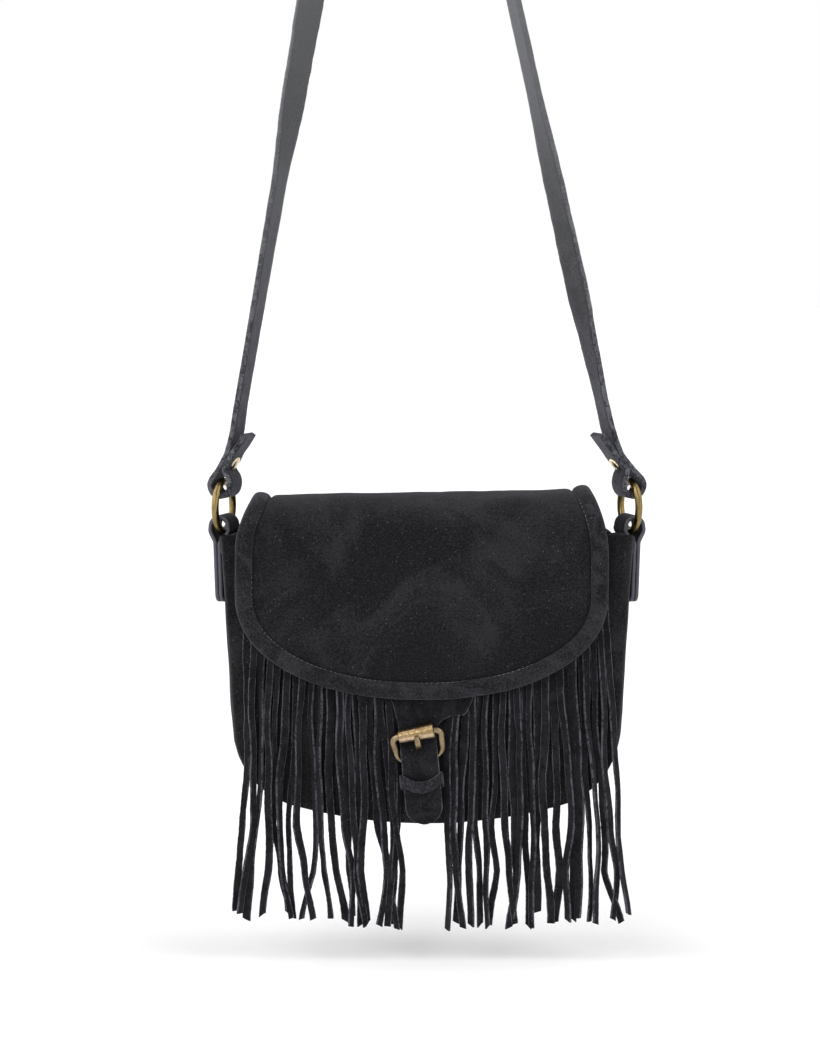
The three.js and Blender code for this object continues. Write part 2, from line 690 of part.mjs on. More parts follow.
// The chape is a short strip folded round the lower bar, slotted for the prong and sewn to the panel.
function chape() {
  const wideEye = frameWireRadius + runningGap;
  const tallEye = wideEye + seamGap + (chapeWidth / 2) * Math.sin(frameTilt);
  const eyeDepth = wideEye + chapeThickness;
  const eyeRise = tallEye + chapeThickness;
  const legTop = -eyeRise - 1.5;
  const legFoot = chapeEnd - barHeight;
  const outline = new THREE.Shape();
  outline.moveTo(barOut + eyeDepth, 0);
  outline.absellipse(barOut, 0, eyeDepth, eyeRise, 0, Math.PI, false);
  outline.quadraticCurveTo(barOut - eyeDepth, legTop + 1, chapeInner, legTop);
  outline.lineTo(chapeInner, legTop / 2 + legFoot / 2);
  outline.lineTo(chapeInner, legFoot);
  outline.lineTo(chapeOuter, legFoot);
  outline.lineTo(chapeOuter, legTop / 2 + legFoot / 2);
  outline.lineTo(chapeOuter, legTop);
  outline.quadraticCurveTo(barOut + eyeDepth, legTop + 1, barOut + eyeDepth, 0);
  const eye = new THREE.Path();
  eye.absellipse(barOut, 0, wideEye, tallEye, 0, 2 * Math.PI, false);
  outline.holes.push(eye);
  const across = { depth: chapeWidth, bevelEnabled: false, curveSegments: 8 };
  const folded = new THREE.ExtrudeGeometry(outline, across);
  folded.translate(0, 0, -chapeWidth / 2);
  const spot = folded.attributes.position;
  for (let i = 0; i < spot.count; i += 1) {
    const up = spot.getY(i);
    const onPanel = inClosure(spot.getZ(i), spot.getX(i), Math.min(barHeight, barHeight + up));
    spot.setXYZ(i, onPanel.x, onPanel.y, barHeight + up - rollerHeight);
  }
  const slot = block(chapeSlotWidth, 4 * eyeDepth, 2 * eyeRise + 4, inClosure(0, barOut, barHeight + 1.2));
  return cut(facingOut(bareMesh(folded)), slot);
}
addPiece("closure_chape", chape(), suede, closure);

// The keeper is a loop of leather round the chape and the end of the closure strap.
function keeper() {
  const innerHalf = closureStrapWidth / 2 + 2 * seamGap;
  const outerHalf = innerHalf + keeperThickness;
  const backIn = seamGap + keeperThickness;
  const frontIn = strapOverChape + closureStrapThickness / 2 + seamGap + runningGap;
  const rounded = (half, near, far, radius) => {
    const shape = new THREE.Shape();
    shape.moveTo(-half, near);
    shape.lineTo(half, near);
    shape.lineTo(half, far - radius);
    shape.quadraticCurveTo(half, far, half - radius, far);
    shape.lineTo(-half + radius, far);
    shape.quadraticCurveTo(-half, far, -half, far - radius);
    shape.closePath();
    return shape;
  };
  const outline = rounded(outerHalf, seamGap, frontIn + keeperThickness, 2.2);
  outline.holes.push(rounded(innerHalf, backIn, frontIn, 1));
  const along = { depth: keeperBand, bevelEnabled: false, curveSegments: 4 };
  const band = new THREE.ExtrudeGeometry(outline, along);
  const base = inClosure(0, 0, keeperHeight);
  return facingOut(bareMesh(band.scale(1, -1, 1).translate(0, base.y, base.z - keeperBand / 2)));
}
addPiece("closure_keeper", keeper(), suede, closure);

// Ring tabs, rings and the strap. A side's own frame has n towards the bag's middle, turned about Z
// because the gusset runs inwards towards the back.

const sideTurn = Math.atan2(frontTopHalfWidth - backTopHalfWidth, 2 * mouthHalfDepth);
const sideMiddle = (frontTopHalfWidth + backTopHalfWidth) / 2 + gussetSideBow;
const tabOut = (seamGap + tabLeather + seamGap / 2) / Math.cos(sideTurn);
const tabX = sideMiddle + tabOut;
const ringX = tabX + tabEyeShift;
const topHalfWidths = frontTopHalfWidth + backTopHalfWidth;
const sideLean = (topHalfWidths - frontFootHalfWidth - backFootHalfWidth) / (2 * pouchHeight);

// Slack that a flat fold needs round the ring's curved wire when the ring swings
function foldSlack(width) {
  return foldPlay + (width / 2) * Math.sin(sideTurn) * Math.sin(swingRange);
}
function wireSpan(width) {
  const height = Math.sqrt(ringRadius ** 2 - (width / 2) ** 2);
  return height - (ringWireRadius * ringRadius) / height;
}

function ringTab() {
  const legHalf = tabLeather + seamGap / 2;
  const eyeTop = -wireSpan(tabWidth) + foldSlack(tabWidth);
  const eyeMiddle = eyeTop - tabEyeHalfWidth;
  const bulge = tabEyeHalfWidth + tabLeather;
  const wireFoot = -ringRadius - ringWireRadius;
  const outline = new THREE.Shape();
  const centre = tabEyeShift;
  const foot = tabEnd - ringHeight;
  const straightFoot = -ringRadius - tabEyeStraight;
  outline.moveTo(-legHalf, foot);
  outline.lineTo(legHalf, foot);
  outline.lineTo(legHalf, wireFoot - 3.2);
  outline.quadraticCurveTo(centre + bulge, wireFoot, centre + bulge, eyeMiddle - 2);
  outline.lineTo(centre + bulge, eyeMiddle);
  outline.absarc(centre, eyeMiddle, bulge, 0, Math.PI, false);
  outline.lineTo(centre - bulge, eyeMiddle - 2);
  outline.quadraticCurveTo(centre - bulge, wireFoot, -legHalf, wireFoot - 4);
  outline.closePath();
  const eye = new THREE.Path();
  eye.moveTo(centre + tabEyeHalfWidth, straightFoot);
  eye.lineTo(centre + tabEyeHalfWidth, eyeMiddle);
  eye.absarc(centre, eyeMiddle, tabEyeHalfWidth, 0, Math.PI, false);
  eye.lineTo(centre - tabEyeHalfWidth, straightFoot);
  eye.lineTo(centre, straightFoot - 4.6);
  eye.closePath();
  outline.holes.push(eye);
  const slab = new THREE.ExtrudeGeometry(outline, { depth: tabWidth, bevelEnabled: false, curveSegments: 7 });
  slab.translate(0, 0, -tabWidth / 2).rotateX(Math.PI / 2);
  const face = new THREE.Shape();
  const half = tabWidth / 2;
  face.moveTo(-half, 4);
  face.lineTo(-half, foot + tabCorner);
  face.quadraticCurveTo(-half, foot, -half + tabCorner, foot);
  face.lineTo(half - tabCorner, foot);
  face.quadraticCurveTo(half, foot, half, foot + tabCorner);
  face.lineTo(half, 4);
  face.closePath();
  const reach = 4 * bulge;
  const mask = new THREE.ExtrudeGeometry(face, { depth: reach, bevelEnabled: false, curveSegments: 5 });
  mask.translate(0, 0, -reach / 2).rotateX(Math.PI / 2).rotateZ(Math.PI / 2);
  const tab = geometryOf(solidOf(slab).intersect(solidOf(mask)));
  const spot = tab.attributes.position;
  for (let i = 0; i < spot.count; i += 1) {
    const below = Math.max(0, pouchHeight - gussetDip - ringHeight - spot.getZ(i));
    spot.setX(i, spot.getX(i) - below * sideLean);
  }
  return tab;
}

// side is -1 on the left and 1 on the right
function onSide(side, piece, x, turn) {
  const matrix = new THREE.Matrix4().makeTranslation(side * x, 0, ringHeight);
  matrix.multiply(new THREE.Matrix4().makeRotationZ(side * turn));
  return placed(piece, matrix);
}

function mirrored(geometry) {
  return facingOut(geometry.clone().applyMatrix4(new THREE.Matrix4().makeScale(-1, 1, 1)));
}

const ring = new THREE.TorusGeometry(ringRadius, ringWireRadius, 10, 30).rotateY(Math.PI / 2);
addPiece("left_ring_tab", onSide(-1, mirrored(ringTab()), tabX, sideTurn), cutSuede);
addPiece("right_ring_tab", onSide(1, ringTab(), tabX, sideTurn), cutSuede);
addPiece("left_ring", onSide(-1, ring, ringX, sideTurn), brass);
addPiece("right_ring", onSide(1, ring, ringX, sideTurn), brass);

// The strap's end, seen along the fold: n towards the bag's middle, h above the ring's centre.
const foldBottom = wireSpan(strapWidth) - foldSlack(strapWidth) - strapThickness / 2;
const foldHalf = strapEyeHalfWidth + strapThickness / 2;
const foldMiddle = foldBottom + foldHalf;
const runLean = Math.atan2(4.8, 10.9);
const layerStep = (strapThickness + seamGap) / Math.cos(runLean);
const wireTop = ringRadius + ringWireRadius;
const joinHeight = wireTop + 4.9;
const runAt = (h) => -0.6 + (h - joinHeight) * Math.tan(runLean);
const tailAt = (h) => runAt(h) + layerStep;

function strapEnd(extraLean) {
  const diagonal = foldHalf * Math.SQRT1_2;
  const seatTop = rivetHeight + rivetSeatHalf;
  const seatFoot = rivetHeight - rivetSeatHalf;
  const outline = [
    [tailTipReach, rivetHeight + tailTipRise], [tailBendReach, rivetHeight + tailBendRise],
    [tailAt(seatTop), seatTop], [tailAt(rivetHeight), rivetHeight], [tailAt(seatFoot), seatFoot],
    [strapEyeShift + foldHalf - 0.6, foldMiddle + 4.4],
    [strapEyeShift + foldHalf, foldMiddle], [strapEyeShift + diagonal, foldMiddle - diagonal],
    [strapEyeShift, foldBottom], [strapEyeShift - diagonal, foldMiddle - diagonal],
    [strapEyeShift - foldHalf, foldMiddle], [-4.4, wireTop - 0.6], [-2.6, joinHeight - 3],
    [runAt(joinHeight), joinHeight], [runAt(rivetHeight), rivetHeight],
    [runAt(seatTop), seatTop], [runBendReach, rivetHeight + runBendRise],
    [runTopReach, rivetHeight + runTopRise],
  ];
  return outline.map(([n, h]) => new THREE.Vector2(n + Math.max(0, h - wireTop) * extraLean, h));
}

// How far the strap's width is turned from the front-to-back direction, by height above the ring
const leftTwist = [[59, 17], [115, 18], [170, 21], [226, 52], [282, 66], [350, 48], [440, 14], [520, 0]];
const rightTwist = [[59, 17], [87, 26], [115, 42], [143, 40], [170, 36], [226, 20], [282, 19], [520, 0]];
function twistAt(table, h) {
  const fromRing = [[40, THREE.MathUtils.radToDeg(sideTurn)], ...table];
  const next = fromRing.findIndex(([height]) => height > h);
  if (next === 0) return sideTurn;
  if (next < 0) return 0;
  const [lowHeight, lowTwist] = fromRing[next - 1];
  const [highHeight, highTwist] = fromRing[next];
  const share = THREE.MathUtils.smoothstep(h, lowHeight, highHeight);
  return THREE.MathUtils.degToRad(lerp(lowTwist, highTwist, share));
}

function strapSide(side, extraLean, table) {
  const end = strapEnd(extraLean);
  const toWorld = (n, h) => point(
    side * (ringX - n * Math.cos(sideTurn)),
    -n * Math.sin(sideTurn),
    ringHeight + h,
  );
  const path = smoothPath(end.map((p) => toWorld(p.x, p.y)), 46);
  const crownRadius = hookRadius + strapThickness / 2;
  const runEnd = path[path.length - 1];
  const crownSide = point(crownShift + side * crownRadius, 0, ringHeight + strapDrop);
  const runSteps = 20;
  for (let i = 1; i <= runSteps; i += 1) path.push(runEnd.clone().lerp(crownSide, i / runSteps));
  const turns = path.map((spot, k) => {
    const turn = k < 34 ? sideTurn : twistAt(table, spot.z - ringHeight);
    return point(-side * Math.sin(turn), Math.cos(turn), 0);
  });
  return { path, turns };
}

function shoulderStrap() {
  const left = strapSide(-1, 0, leftTwist);
  const right = strapSide(1, rightLean, rightTwist);
  const crownRadius = hookRadius + strapThickness / 2;
  const crown = Array.from({ length: 9 }, (_, i) => {
    const angle = Math.PI * (1 - (i + 1) / 10);
    const spot = point(crownShift, 0, ringHeight + strapDrop);
    return spot.add(point(Math.cos(angle), 0, Math.sin(angle)).multiplyScalar(crownRadius));
  });
  const path = [...left.path, ...crown, ...right.path.reverse()];
  const straight = crown.map(() => point(0, 1, 0));
  const turns = [...left.turns, ...straight, ...right.turns.reverse()];
  return strip(path, (k) => turns[k], strapWidth, strapThickness);
}

function rivetMatrix(side, extraLean) {
  const n = (runAt(rivetHeight) + tailAt(rivetHeight)) / 2 + (rivetHeight - wireTop) * extraLean;
  const lean = Math.atan(Math.tan(runLean) + extraLean);
  const matrix = new THREE.Matrix4().makeTranslation(
    side * (ringX - n * Math.cos(sideTurn)), -n * Math.sin(sideTurn), ringHeight + rivetHeight,
  );
  matrix.multiply(new THREE.Matrix4().makeRotationZ(side * sideTurn));
  return matrix.multiply(new THREE.Matrix4().makeRotationY(side * (Math.PI / 2 - lean)));
}

function rivet() {
  const post = strapThickness + seamGap / 2 + seamGap;
  const head = post + rivetHeadHeight;
  const profile = [
    [0, -head], [rivetHeadRadius * 0.6, -head + 0.15],
    [rivetHeadRadius, -post - 0.35], [rivetHeadRadius, -post],
    [rivetPostRadius, -post], [rivetPostRadius, post],
    [rivetHeadRadius, post], [rivetHeadRadius, post + 0.35],
    [rivetHeadRadius * 0.6, head - 0.15], [0, head],
  ].map(([r, along]) => new THREE.Vector2(r, along));
  return new THREE.LatheGeometry(profile, 16).rotateX(Math.PI / 2);
}

const holeRadius = rivetPostRadius + seamGap;
const holeLength = 5 * strapThickness;
const rivetHole = new THREE.CylinderGeometry(holeRadius, holeRadius, holeLength, 10).rotateX(Math.PI / 2);
const leftRivet = rivetMatrix(-1, 0);
const rightRivet = rivetMatrix(1, rightLean);
const pierced = cut(shoulderStrap(), placed(rivetHole, leftRivet), placed(rivetHole, rightRivet));
addPiece("shoulder_strap", pierced, cutSuede);
addPiece("left_rivet", placed(rivet(), leftRivet), paleBrass);
addPiece("right_rivet", placed(rivet(), rightRivet), paleBrass);

// Everything hangs from the strap's crown.
bag.position.set(-crownShift, 0, -(ringHeight + strapDrop + hookRadius));
const model = new THREE.Group();
model.add(bag);

export default model;
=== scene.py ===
# A fringed black suede shoulder bag hanging by its strap: a soft pouch under an arched flap with a
# rolled edge, cut fringe below it, a roller buckle in old brass, and a long strap through round rings.

import random
from math import atan, atan2, copysign, cos, degrees, exp, pi, radians, sin, sqrt, tan

import bpy
from mathutils import Matrix, Vector, kdtree, noise


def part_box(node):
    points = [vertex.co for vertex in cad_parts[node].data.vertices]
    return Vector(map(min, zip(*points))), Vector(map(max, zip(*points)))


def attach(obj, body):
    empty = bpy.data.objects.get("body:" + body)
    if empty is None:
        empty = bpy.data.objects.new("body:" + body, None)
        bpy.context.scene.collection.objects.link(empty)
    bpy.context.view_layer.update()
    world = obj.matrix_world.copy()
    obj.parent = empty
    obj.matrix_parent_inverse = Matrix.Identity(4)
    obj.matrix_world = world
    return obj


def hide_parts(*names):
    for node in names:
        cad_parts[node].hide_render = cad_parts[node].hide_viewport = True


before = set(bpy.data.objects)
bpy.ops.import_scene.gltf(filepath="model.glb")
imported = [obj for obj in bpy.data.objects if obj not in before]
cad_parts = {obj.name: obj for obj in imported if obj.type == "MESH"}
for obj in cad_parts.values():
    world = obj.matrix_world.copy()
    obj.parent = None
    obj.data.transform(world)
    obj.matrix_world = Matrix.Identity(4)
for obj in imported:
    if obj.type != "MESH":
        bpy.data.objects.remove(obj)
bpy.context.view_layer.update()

# Front and back panels
# Two pieces of thin black suede with rounded lower corners, sewn inside out to the gusset and turned,
# so that the seam rolls over at the edge. Empty, the pouch sags and dents a little.

MM = 0.001
panel_low, panel_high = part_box("front_panel")
pouch_middle = (panel_low.x + panel_high.x) / 2
pouch_foot = panel_low.z
pouch_height = (panel_high.z - panel_low.z) / MM
front_top_half_width = 111
front_foot_half_width = 101
back_top_half_width = 98
back_foot_half_width = 99
mouth_half_depth = 22
foot_half_depth = 27
corner_radius = 43
bottom_radius = 272
leather = 2.2
seam_gap = 0.3
panel_bulge = 4.5
bulge_power = 2.4
seam_roll = 2.4
arc_steps = 24


def on_bag(x, y, z):
    """A place in millimetres from the middle of the pouch's foot, in the frame."""
    return Vector((pouch_middle + x * MM, y * MM, pouch_foot + z * MM))


def lerp(low, high, share):
    return low + (high - low) * share


def smooth_step(value, low, high):
    """Rises softly from 0 at low to 1 at high, or falls as softly where low is the higher one."""
    share = min(1, max(0, (value - low) / (high - low)))
    return share * share * (3 - 2 * share)


def ripple(x, y, z, size, seed=0):
    """A soft random wave from -1 to 1 that changes over about that size."""
    return noise.noise(Vector((x / size + 7.3 * seed, y / size - 3.1 * seed, z / size)))


def half_depth_at(z):
    return lerp(foot_half_depth, mouth_half_depth, z / pouch_height)


def bulge_at(x, z):
    middle = pouch_height / 2
    across = 1 - abs(x / front_top_half_width) ** bulge_power
    along = 1 - abs((z - middle) / middle) ** bulge_power
    return panel_bulge * max(0, across) * max(0, along)


def panel_depth_at(x, z):
    return half_depth_at(z) + seam_gap + leather + bulge_at(x, z)


def spaced(points, count, closed=False):
    """The same line with count even steps."""
    line = list(points) + ([points[0]] if closed else [])
    lengths = [0]
    for before, after in zip(line, line[1:]):
        lengths.append(lengths[-1] + (after - before).length)
    result = []
    k = 0
    for i in range(count + 1):
        wanted = lengths[-1] * i / count
        while k < len(line) - 2 and lengths[k + 1] < wanted:
            k += 1
        step = lengths[k + 1] - lengths[k]
        result.append(line[k].lerp(line[k + 1], (wanted - lengths[k]) / step))
    return result


def arc(centre, radius, start, finish, steps):
    """Even steps along an arc from one angle to another, with both ends."""
    angles = [lerp(start, finish, i / steps) for i in range(steps + 1)]
    return [Vector(centre) + Vector((cos(a), sin(a))) * radius for a in angles]


def open_outline(top_half_width, foot_half_width, steps):
    """Down the left side, along the foot and up the right side, as (x, z)."""
    slope = (top_half_width - foot_half_width) / pouch_height
    side_angle = atan(slope)
    inset = foot_half_width - corner_radius / cos(side_angle)
    square = 1 + slope * slope
    linear_term = 2 * (inset * slope - bottom_radius)
    rest = inset**2 + bottom_radius**2 - (bottom_radius - corner_radius) ** 2
    corner_z = (-linear_term - sqrt(linear_term**2 - 4 * square * rest)) / (2 * square)
    corner_x = inset + slope * corner_z
    end_angle = atan2(corner_z - bottom_radius, corner_x)
    half = [Vector((top_half_width, pouch_height))]
    half += arc((corner_x, corner_z), corner_radius, -side_angle, end_angle, arc_steps)
    half += arc((0, bottom_radius), bottom_radius, end_angle, -pi / 2, arc_steps)[1:]
    left = [Vector((-p.x, p.y)) for p in half]
    return spaced(left + half[-2::-1], steps)


def linear(colour):
    """An sRGB hex colour as linear red, green, blue and alpha."""
    parts = [int(colour[i : i + 2], 16) / 255 for i in (1, 3, 5)]
    return [((c + 0.055) / 1.055) ** 2.4 if c > 0.04045 else c / 12.92 for c in parts] + [1.0]


def add_node(tree, kind, inputs=None, **settings):
    """Adds a shader node and gives its outputs; an input is a value or another node's output."""
    node = tree.nodes.new("ShaderNode" + kind)
    for name, value in settings.items():
        setattr(node, name, value)
    for name, value in (inputs or {}).items():
        if isinstance(value, bpy.types.NodeSocket):
            tree.links.new(value, node.inputs[name])
        else:
            node.inputs[name].default_value = value
    return node.outputs


def cleared_tree(owner):
    owner.use_nodes = True
    owner.node_tree.nodes.clear()
    return owner.node_tree


def new_material(name):
    """A material, its empty node tree and the place of each point on the object."""
    material = bpy.data.materials.new(name)
    tree = cleared_tree(material)
    return material, tree, add_node(tree, "TexCoord")["Object"]


def wavy(tree, place, size, detail, rough=0.5, twist=0.0):
    """Random noise in waves of about that many millimetres."""
    inputs = {"Vector": place, "Scale": 1 / (size * MM), "Detail": detail, "Roughness": rough}
    return add_node(tree, "TexNoise", inputs | {"Distortion": twist})[0]


def stretched(tree, value, low, high, start=0.0, end=1.0):
    """A value that runs from start to end where the given one runs from low to high."""
    inputs = {"Value": value, "From Min": low, "From Max": high, "To Min": start, "To Max": end}
    return add_node(tree, "MapRange", inputs)[0]


def combined(tree, operation, *values):
    return add_node(tree, "Math", dict(enumerate(values)), operation=operation, use_clamp=True)[0]


COLOUR_A, COLOUR_B, MIXED = 6, 7, 2


def blended(tree, share, first, second):
    inputs = {0: share, COLOUR_A: first, COLOUR_B: second}
    return add_node(tree, "Mix", inputs, data_type="RGBA")[MIXED]


def bumped(tree, height, strength, distance, **under):
    """Dents that many millimetres deep, on top of another bump where one is given."""
    inputs = {"Height": height, "Strength": strength, "Distance": distance * MM}
    return add_node(tree, "Bump", inputs | under)[0]


def surfaced(tree, inputs):
    shader = add_node(tree, "BsdfPrincipled", inputs)[0]
    add_node(tree, "OutputMaterial", {"Surface": shader})


# Suede is leather buffed until its fibres stand up as a nap: no gloss, a soft light edge, paler where
# the nap was brushed the other way, and dusted with a few bright grains. The nap is drawn 0.9 mm coarse.
def suede(name, dark, light, patch=38, contrast=0.9, grains=True, sheen=0.32, painted_top_light=None):
    material, tree, place = new_material(name)
    brushed = stretched(tree, wavy(tree, place, patch, 5, 0.6, 1.5), 0.42, 0.64)
    nap = wavy(tree, place, 0.9, 3, 0.7)
    share = combined(tree, "MULTIPLY_ADD", brushed, contrast, stretched(tree, nap, 0.33, 0.7, -0.5, 0.9))
    colour = blended(tree, share, linear(dark), linear(light))
    if grains:
        cells = add_node(tree, "TexVoronoi", {"Vector": place, "Scale": 1 / (2.6 * MM)})
        near = combined(tree, "LESS_THAN", cells["Distance"], 0.09)
        hue = add_node(tree, "SeparateColor", {"Color": cells["Color"]})[0]
        chosen = combined(tree, "GREATER_THAN", hue, 0.55)
        grain = combined(tree, "MULTIPLY", near, chosen)
        colour = blended(tree, grain, colour, linear("#625f63"))
    # With painted_top_light given, the colour is painted paler upwards between two heights: painted light
    # from above.
    if painted_top_light:
        low, high, paler = painted_top_light
        height = add_node(tree, "SeparateXYZ", {"Vector": place})["Z"]
        colour = blended(tree, stretched(tree, height, low, high), colour, linear(paler))
    soft = bumped(tree, wavy(tree, place, 4.5, 3, 0.6), 0.5, 0.5)
    fine = bumped(tree, nap, 0.9, 0.3, Normal=soft)
    looks = {
        "Base Color": colour, "Roughness": 0.95, "Specular IOR Level": 0.18, "Normal": fine,
        "Sheen Weight": sheen, "Sheen Roughness": 0.45, "Sheen Tint": linear("#c4c6d2"),
    }
    surfaced(tree, looks)
    return material


def choose(*pieces):
    """Selects just these pieces and makes the first one active."""
    bpy.ops.object.select_all(action="DESELECT")
    for piece in pieces[::-1]:
        piece.select_set(True)
        bpy.context.view_layer.objects.active = piece


def named(piece, name):
    piece.name = name
    piece.data.name = name
    return piece


def skin(name, across, along, place):
    """A sheet of across by along faces; place(u, v) gives each corner, u and v from 0 to 1."""
    choose()
    bpy.ops.mesh.primitive_grid_add(x_subdivisions=across, y_subdivisions=along, size=1)
    sheet = named(bpy.context.object, name)
    for vertex in sheet.data.vertices:
        vertex.co = place(vertex.co.x + 0.5, vertex.co.y + 0.5)
    return sheet


def close_up(piece, fill=True, near=0.004):
    """Joins doubled edges, fills open ends and turns the faces outwards."""
    choose(piece)
    bpy.ops.object.mode_set(mode="EDIT")
    bpy.ops.mesh.select_all(action="SELECT")
    bpy.ops.mesh.remove_doubles(threshold=near * MM)
    if fill:
        bpy.ops.mesh.fill_holes(sides=0)
        bpy.ops.mesh.select_all(action="SELECT")
    bpy.ops.mesh.normals_make_consistent(inside=False)
    bpy.ops.object.mode_set(mode="OBJECT")


def shaped_by(piece, kind, **settings):
    """Adds a modifier to the piece and applies it."""
    modifier = piece.modifiers.new(kind, kind)
    for name, value in settings.items():
        setattr(modifier, name, value)
    bpy.context.view_layer.objects.active = piece
    bpy.ops.object.modifier_apply(modifier=modifier.name)


def thickened(sheet, direction, thickness):
    """Turns an open sheet's outer face that way and gives the sheet its thickness behind it."""
    outward = Vector(direction)
    outermost = max(sheet.data.polygons, key=lambda face: face.center.dot(outward))
    if outermost.normal.dot(outward) < 0:
        sheet.data.flip_normals()
    shaped_by(sheet, "SOLIDIFY", thickness=thickness * MM, offset=-1)


def fitted(piece, body, materials, nodes=(), crease=50):
    """Gives a finished piece its materials, its body and the nodes that it stands for."""
    for material in materials:
        piece.data.materials.append(material)
    choose(piece)
    bpy.ops.object.shade_smooth_by_angle(angle=radians(crease))
    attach(piece, body)
    if nodes:
        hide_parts(*nodes)


black_suede = suede("black_suede_nap", "#0d0c0e", "#2a292b", patch=56, contrast=0.7, sheen=0.16)


def panel(name, node, side, top_half_width, foot_half_width, dents):
    around, flat_rows, roll_rows = 260, 34, 7
    mouth = [Vector((top_half_width, pouch_height)), Vector((-top_half_width, pouch_height))]
    sides = open_outline(top_half_width, foot_half_width, 160)
    rim = spaced(sides + spaced(mouth, 12)[1:-1], around, closed=True)
    centre = Vector((0, pouch_height / 2))

    def place(u, v):
        edge = rim[round(u * around) % around]
        row = round(v * (flat_rows + roll_rows))
        roll = max(0, row - flat_rows) / roll_rows * pi / 2
        reach = 1 - seam_roll / (edge - centre).length
        share = (row / flat_rows) ** 0.85 * reach if row <= flat_rows else reach
        spot = centre.lerp(edge, share) + (edge - centre).normalized() * seam_roll * sin(roll)
        at_mouth = smooth_step(edge.y, pouch_height - 2, pouch_height)
        fall = seam_roll * (1 - cos(roll)) * (1 - at_mouth)
        fade = 1 - share**6
        waves = ripple(spot.x, 0, spot.y, 46, side) + 0.35 * ripple(spot.x, 0, spot.y, 17, side)
        soft = min(0.3, dents * fade * waves)
        pucker = 0.22 * sin(u * around * 0.9) * smooth_step(share, 0.9, 1) * cos(roll)
        depth = half_depth_at(spot.y) + seam_gap + leather + bulge_at(spot.x, spot.y) * fade
        return on_bag(spot.x, side * (depth - fall + soft + pucker), spot.y)

    sheet = skin(name, around, flat_rows + roll_rows, place)
    close_up(sheet, fill=False)
    thickened(sheet, (0, side, 0), leather)
    fitted(sheet, "bag", [black_suede], [node])


panel("front_panel_suede", "front_panel", -1, front_top_half_width, front_foot_half_width, 0.5)
panel("back_panel_suede", "back_panel", 1, back_top_half_width, back_foot_half_width, 1.3)

# Gusset
# One long strip of the same suede that makes the sides and the foot, sewn between the panels. It is
# hemmed at the mouth, bows out at the sides and puckers where it turns the lower corners.

gusset_side_bow = 4.8
gusset_foot_bow = 2.5
gusset_bow_height = 60
gusset_dip = 7
hem_width = 7
gusset_steps = 300
front_edge = open_outline(front_top_half_width, front_foot_half_width, gusset_steps)
back_edge = open_outline(back_top_half_width, back_foot_half_width, gusset_steps)


def gusset_place(u, v):
    k = round(u * gusset_steps)
    edges = []
    for outline in (front_edge, back_edge):
        ahead = outline[min(k + 1, gusset_steps)] - outline[max(k - 1, 0)]
        ahead.normalize()
        edges.append((outline[k], Vector((ahead.y, -ahead.x))))
    spot = edges[0][0].lerp(edges[1][0], v)
    normal = edges[0][1].lerp(edges[1][1], v).normalized()
    arch = 4 * v * (1 - v)
    bow = lerp(gusset_foot_bow, gusset_side_bow, min(1, spot.y / gusset_bow_height))
    depth = half_depth_at(spot.y)
    from_seam = min(v, 1 - v) * 2 * depth
    crease = -1.5 * exp(-((from_seam / 1.6) ** 2))
    from_mouth = pouch_height - spot.y
    hem = 0.9 * smooth_step(from_mouth, hem_width + 0.5, hem_width - 1.5)
    turn = smooth_step(spot.y, 8, 30) * smooth_step(spot.y, 66, 44)
    pucker = 0.55 * turn * arch * sin(k * 0.85) * ripple(k, 0, v * 40, 9)
    dent = 0.9 * arch * min(0.4, ripple(k * 1.8, 0, v * 40, 30, 2))
    spot = spot + normal * (bow * arch + crease + hem + pucker + dent)
    dip = gusset_dip * arch * smooth_step(spot.y, pouch_height - 40, pouch_height)
    return on_bag(spot.x, lerp(-depth, depth, v), spot.y - dip)


gusset = skin("gusset_suede", gusset_steps, 30, gusset_place)
thickened(gusset, (0, 0, -1), leather)
fitted(gusset, "bag", [black_suede], ["gusset"])

# Flap
# One sheet of suede sewn to the back, arched over the mouth and hanging down the front in a round lobe.
# It lies over fringe and closure, so that its face swells softly, and it sinks along the stitched line.

flap_thickness = 2.2
flap_shift = -2.9
flap_half_width = 99.9
flap_fold_half_width = 92
flap_shoulder_height = 148
flap_curve_height = 125
flap_tip_height = 70
flap_roundness = 2.15
flap_rise = 19.2
flap_back_seam = 18
binding_width = 9.3
binding_leather = 1.2
fringe_thickness = 1.6
closure_thickness = 1.8
binding_half = flap_thickness / 2 + seam_gap + binding_leather
layers_under_flap = 2 * seam_gap + fringe_thickness + seam_gap + closure_thickness + seam_gap
right_rise = 2.2
flap_drop = flap_curve_height - flap_tip_height
edge_steps = 520


def flap_front_depth(x, z):
    return panel_depth_at(x, z) + layers_under_flap + binding_half


def flap_back_depth(x, z):
    return panel_depth_at(x, z) + seam_gap + flap_thickness / 2


arch_half_depth = (flap_front_depth(0, pouch_height) + flap_back_depth(0, pouch_height)) / 2
arch_middle = flap_back_depth(0, pouch_height) - arch_half_depth
arch_half_height = flap_rise + flap_thickness / 2
arch_length = pi * sqrt((arch_half_depth**2 + arch_half_height**2) / 2)
arch_end = pouch_height + arch_length
flap_start = arch_end + flap_back_seam


def on_flap(x, s, lift):
    """x across, s up the front, over the arch and down the back, lift out of the middle surface."""
    if s <= pouch_height:
        return on_bag(x, -flap_front_depth(x, s) - lift, s)
    if s <= arch_end:
        angle = pi * (s - pouch_height) / arch_length
        height = arch_half_height + right_rise * x / flap_half_width + lift
        y = arch_middle - (arch_half_depth + lift) * cos(angle)
        return on_bag(x, y, pouch_height + height * sin(angle))
    z = pouch_height - (s - arch_end)
    return on_bag(x, flap_back_depth(x, z) + lift, z)


def flap_half_width_at(s):
    narrowed = smooth_step(s, flap_shoulder_height, pouch_height + arch_length / 2)
    return lerp(flap_half_width, flap_fold_half_width, narrowed)


def flap_foot_at(share):
    return flap_curve_height - flap_drop * (1 - abs(share) ** flap_roundness) ** (1 / flap_roundness)


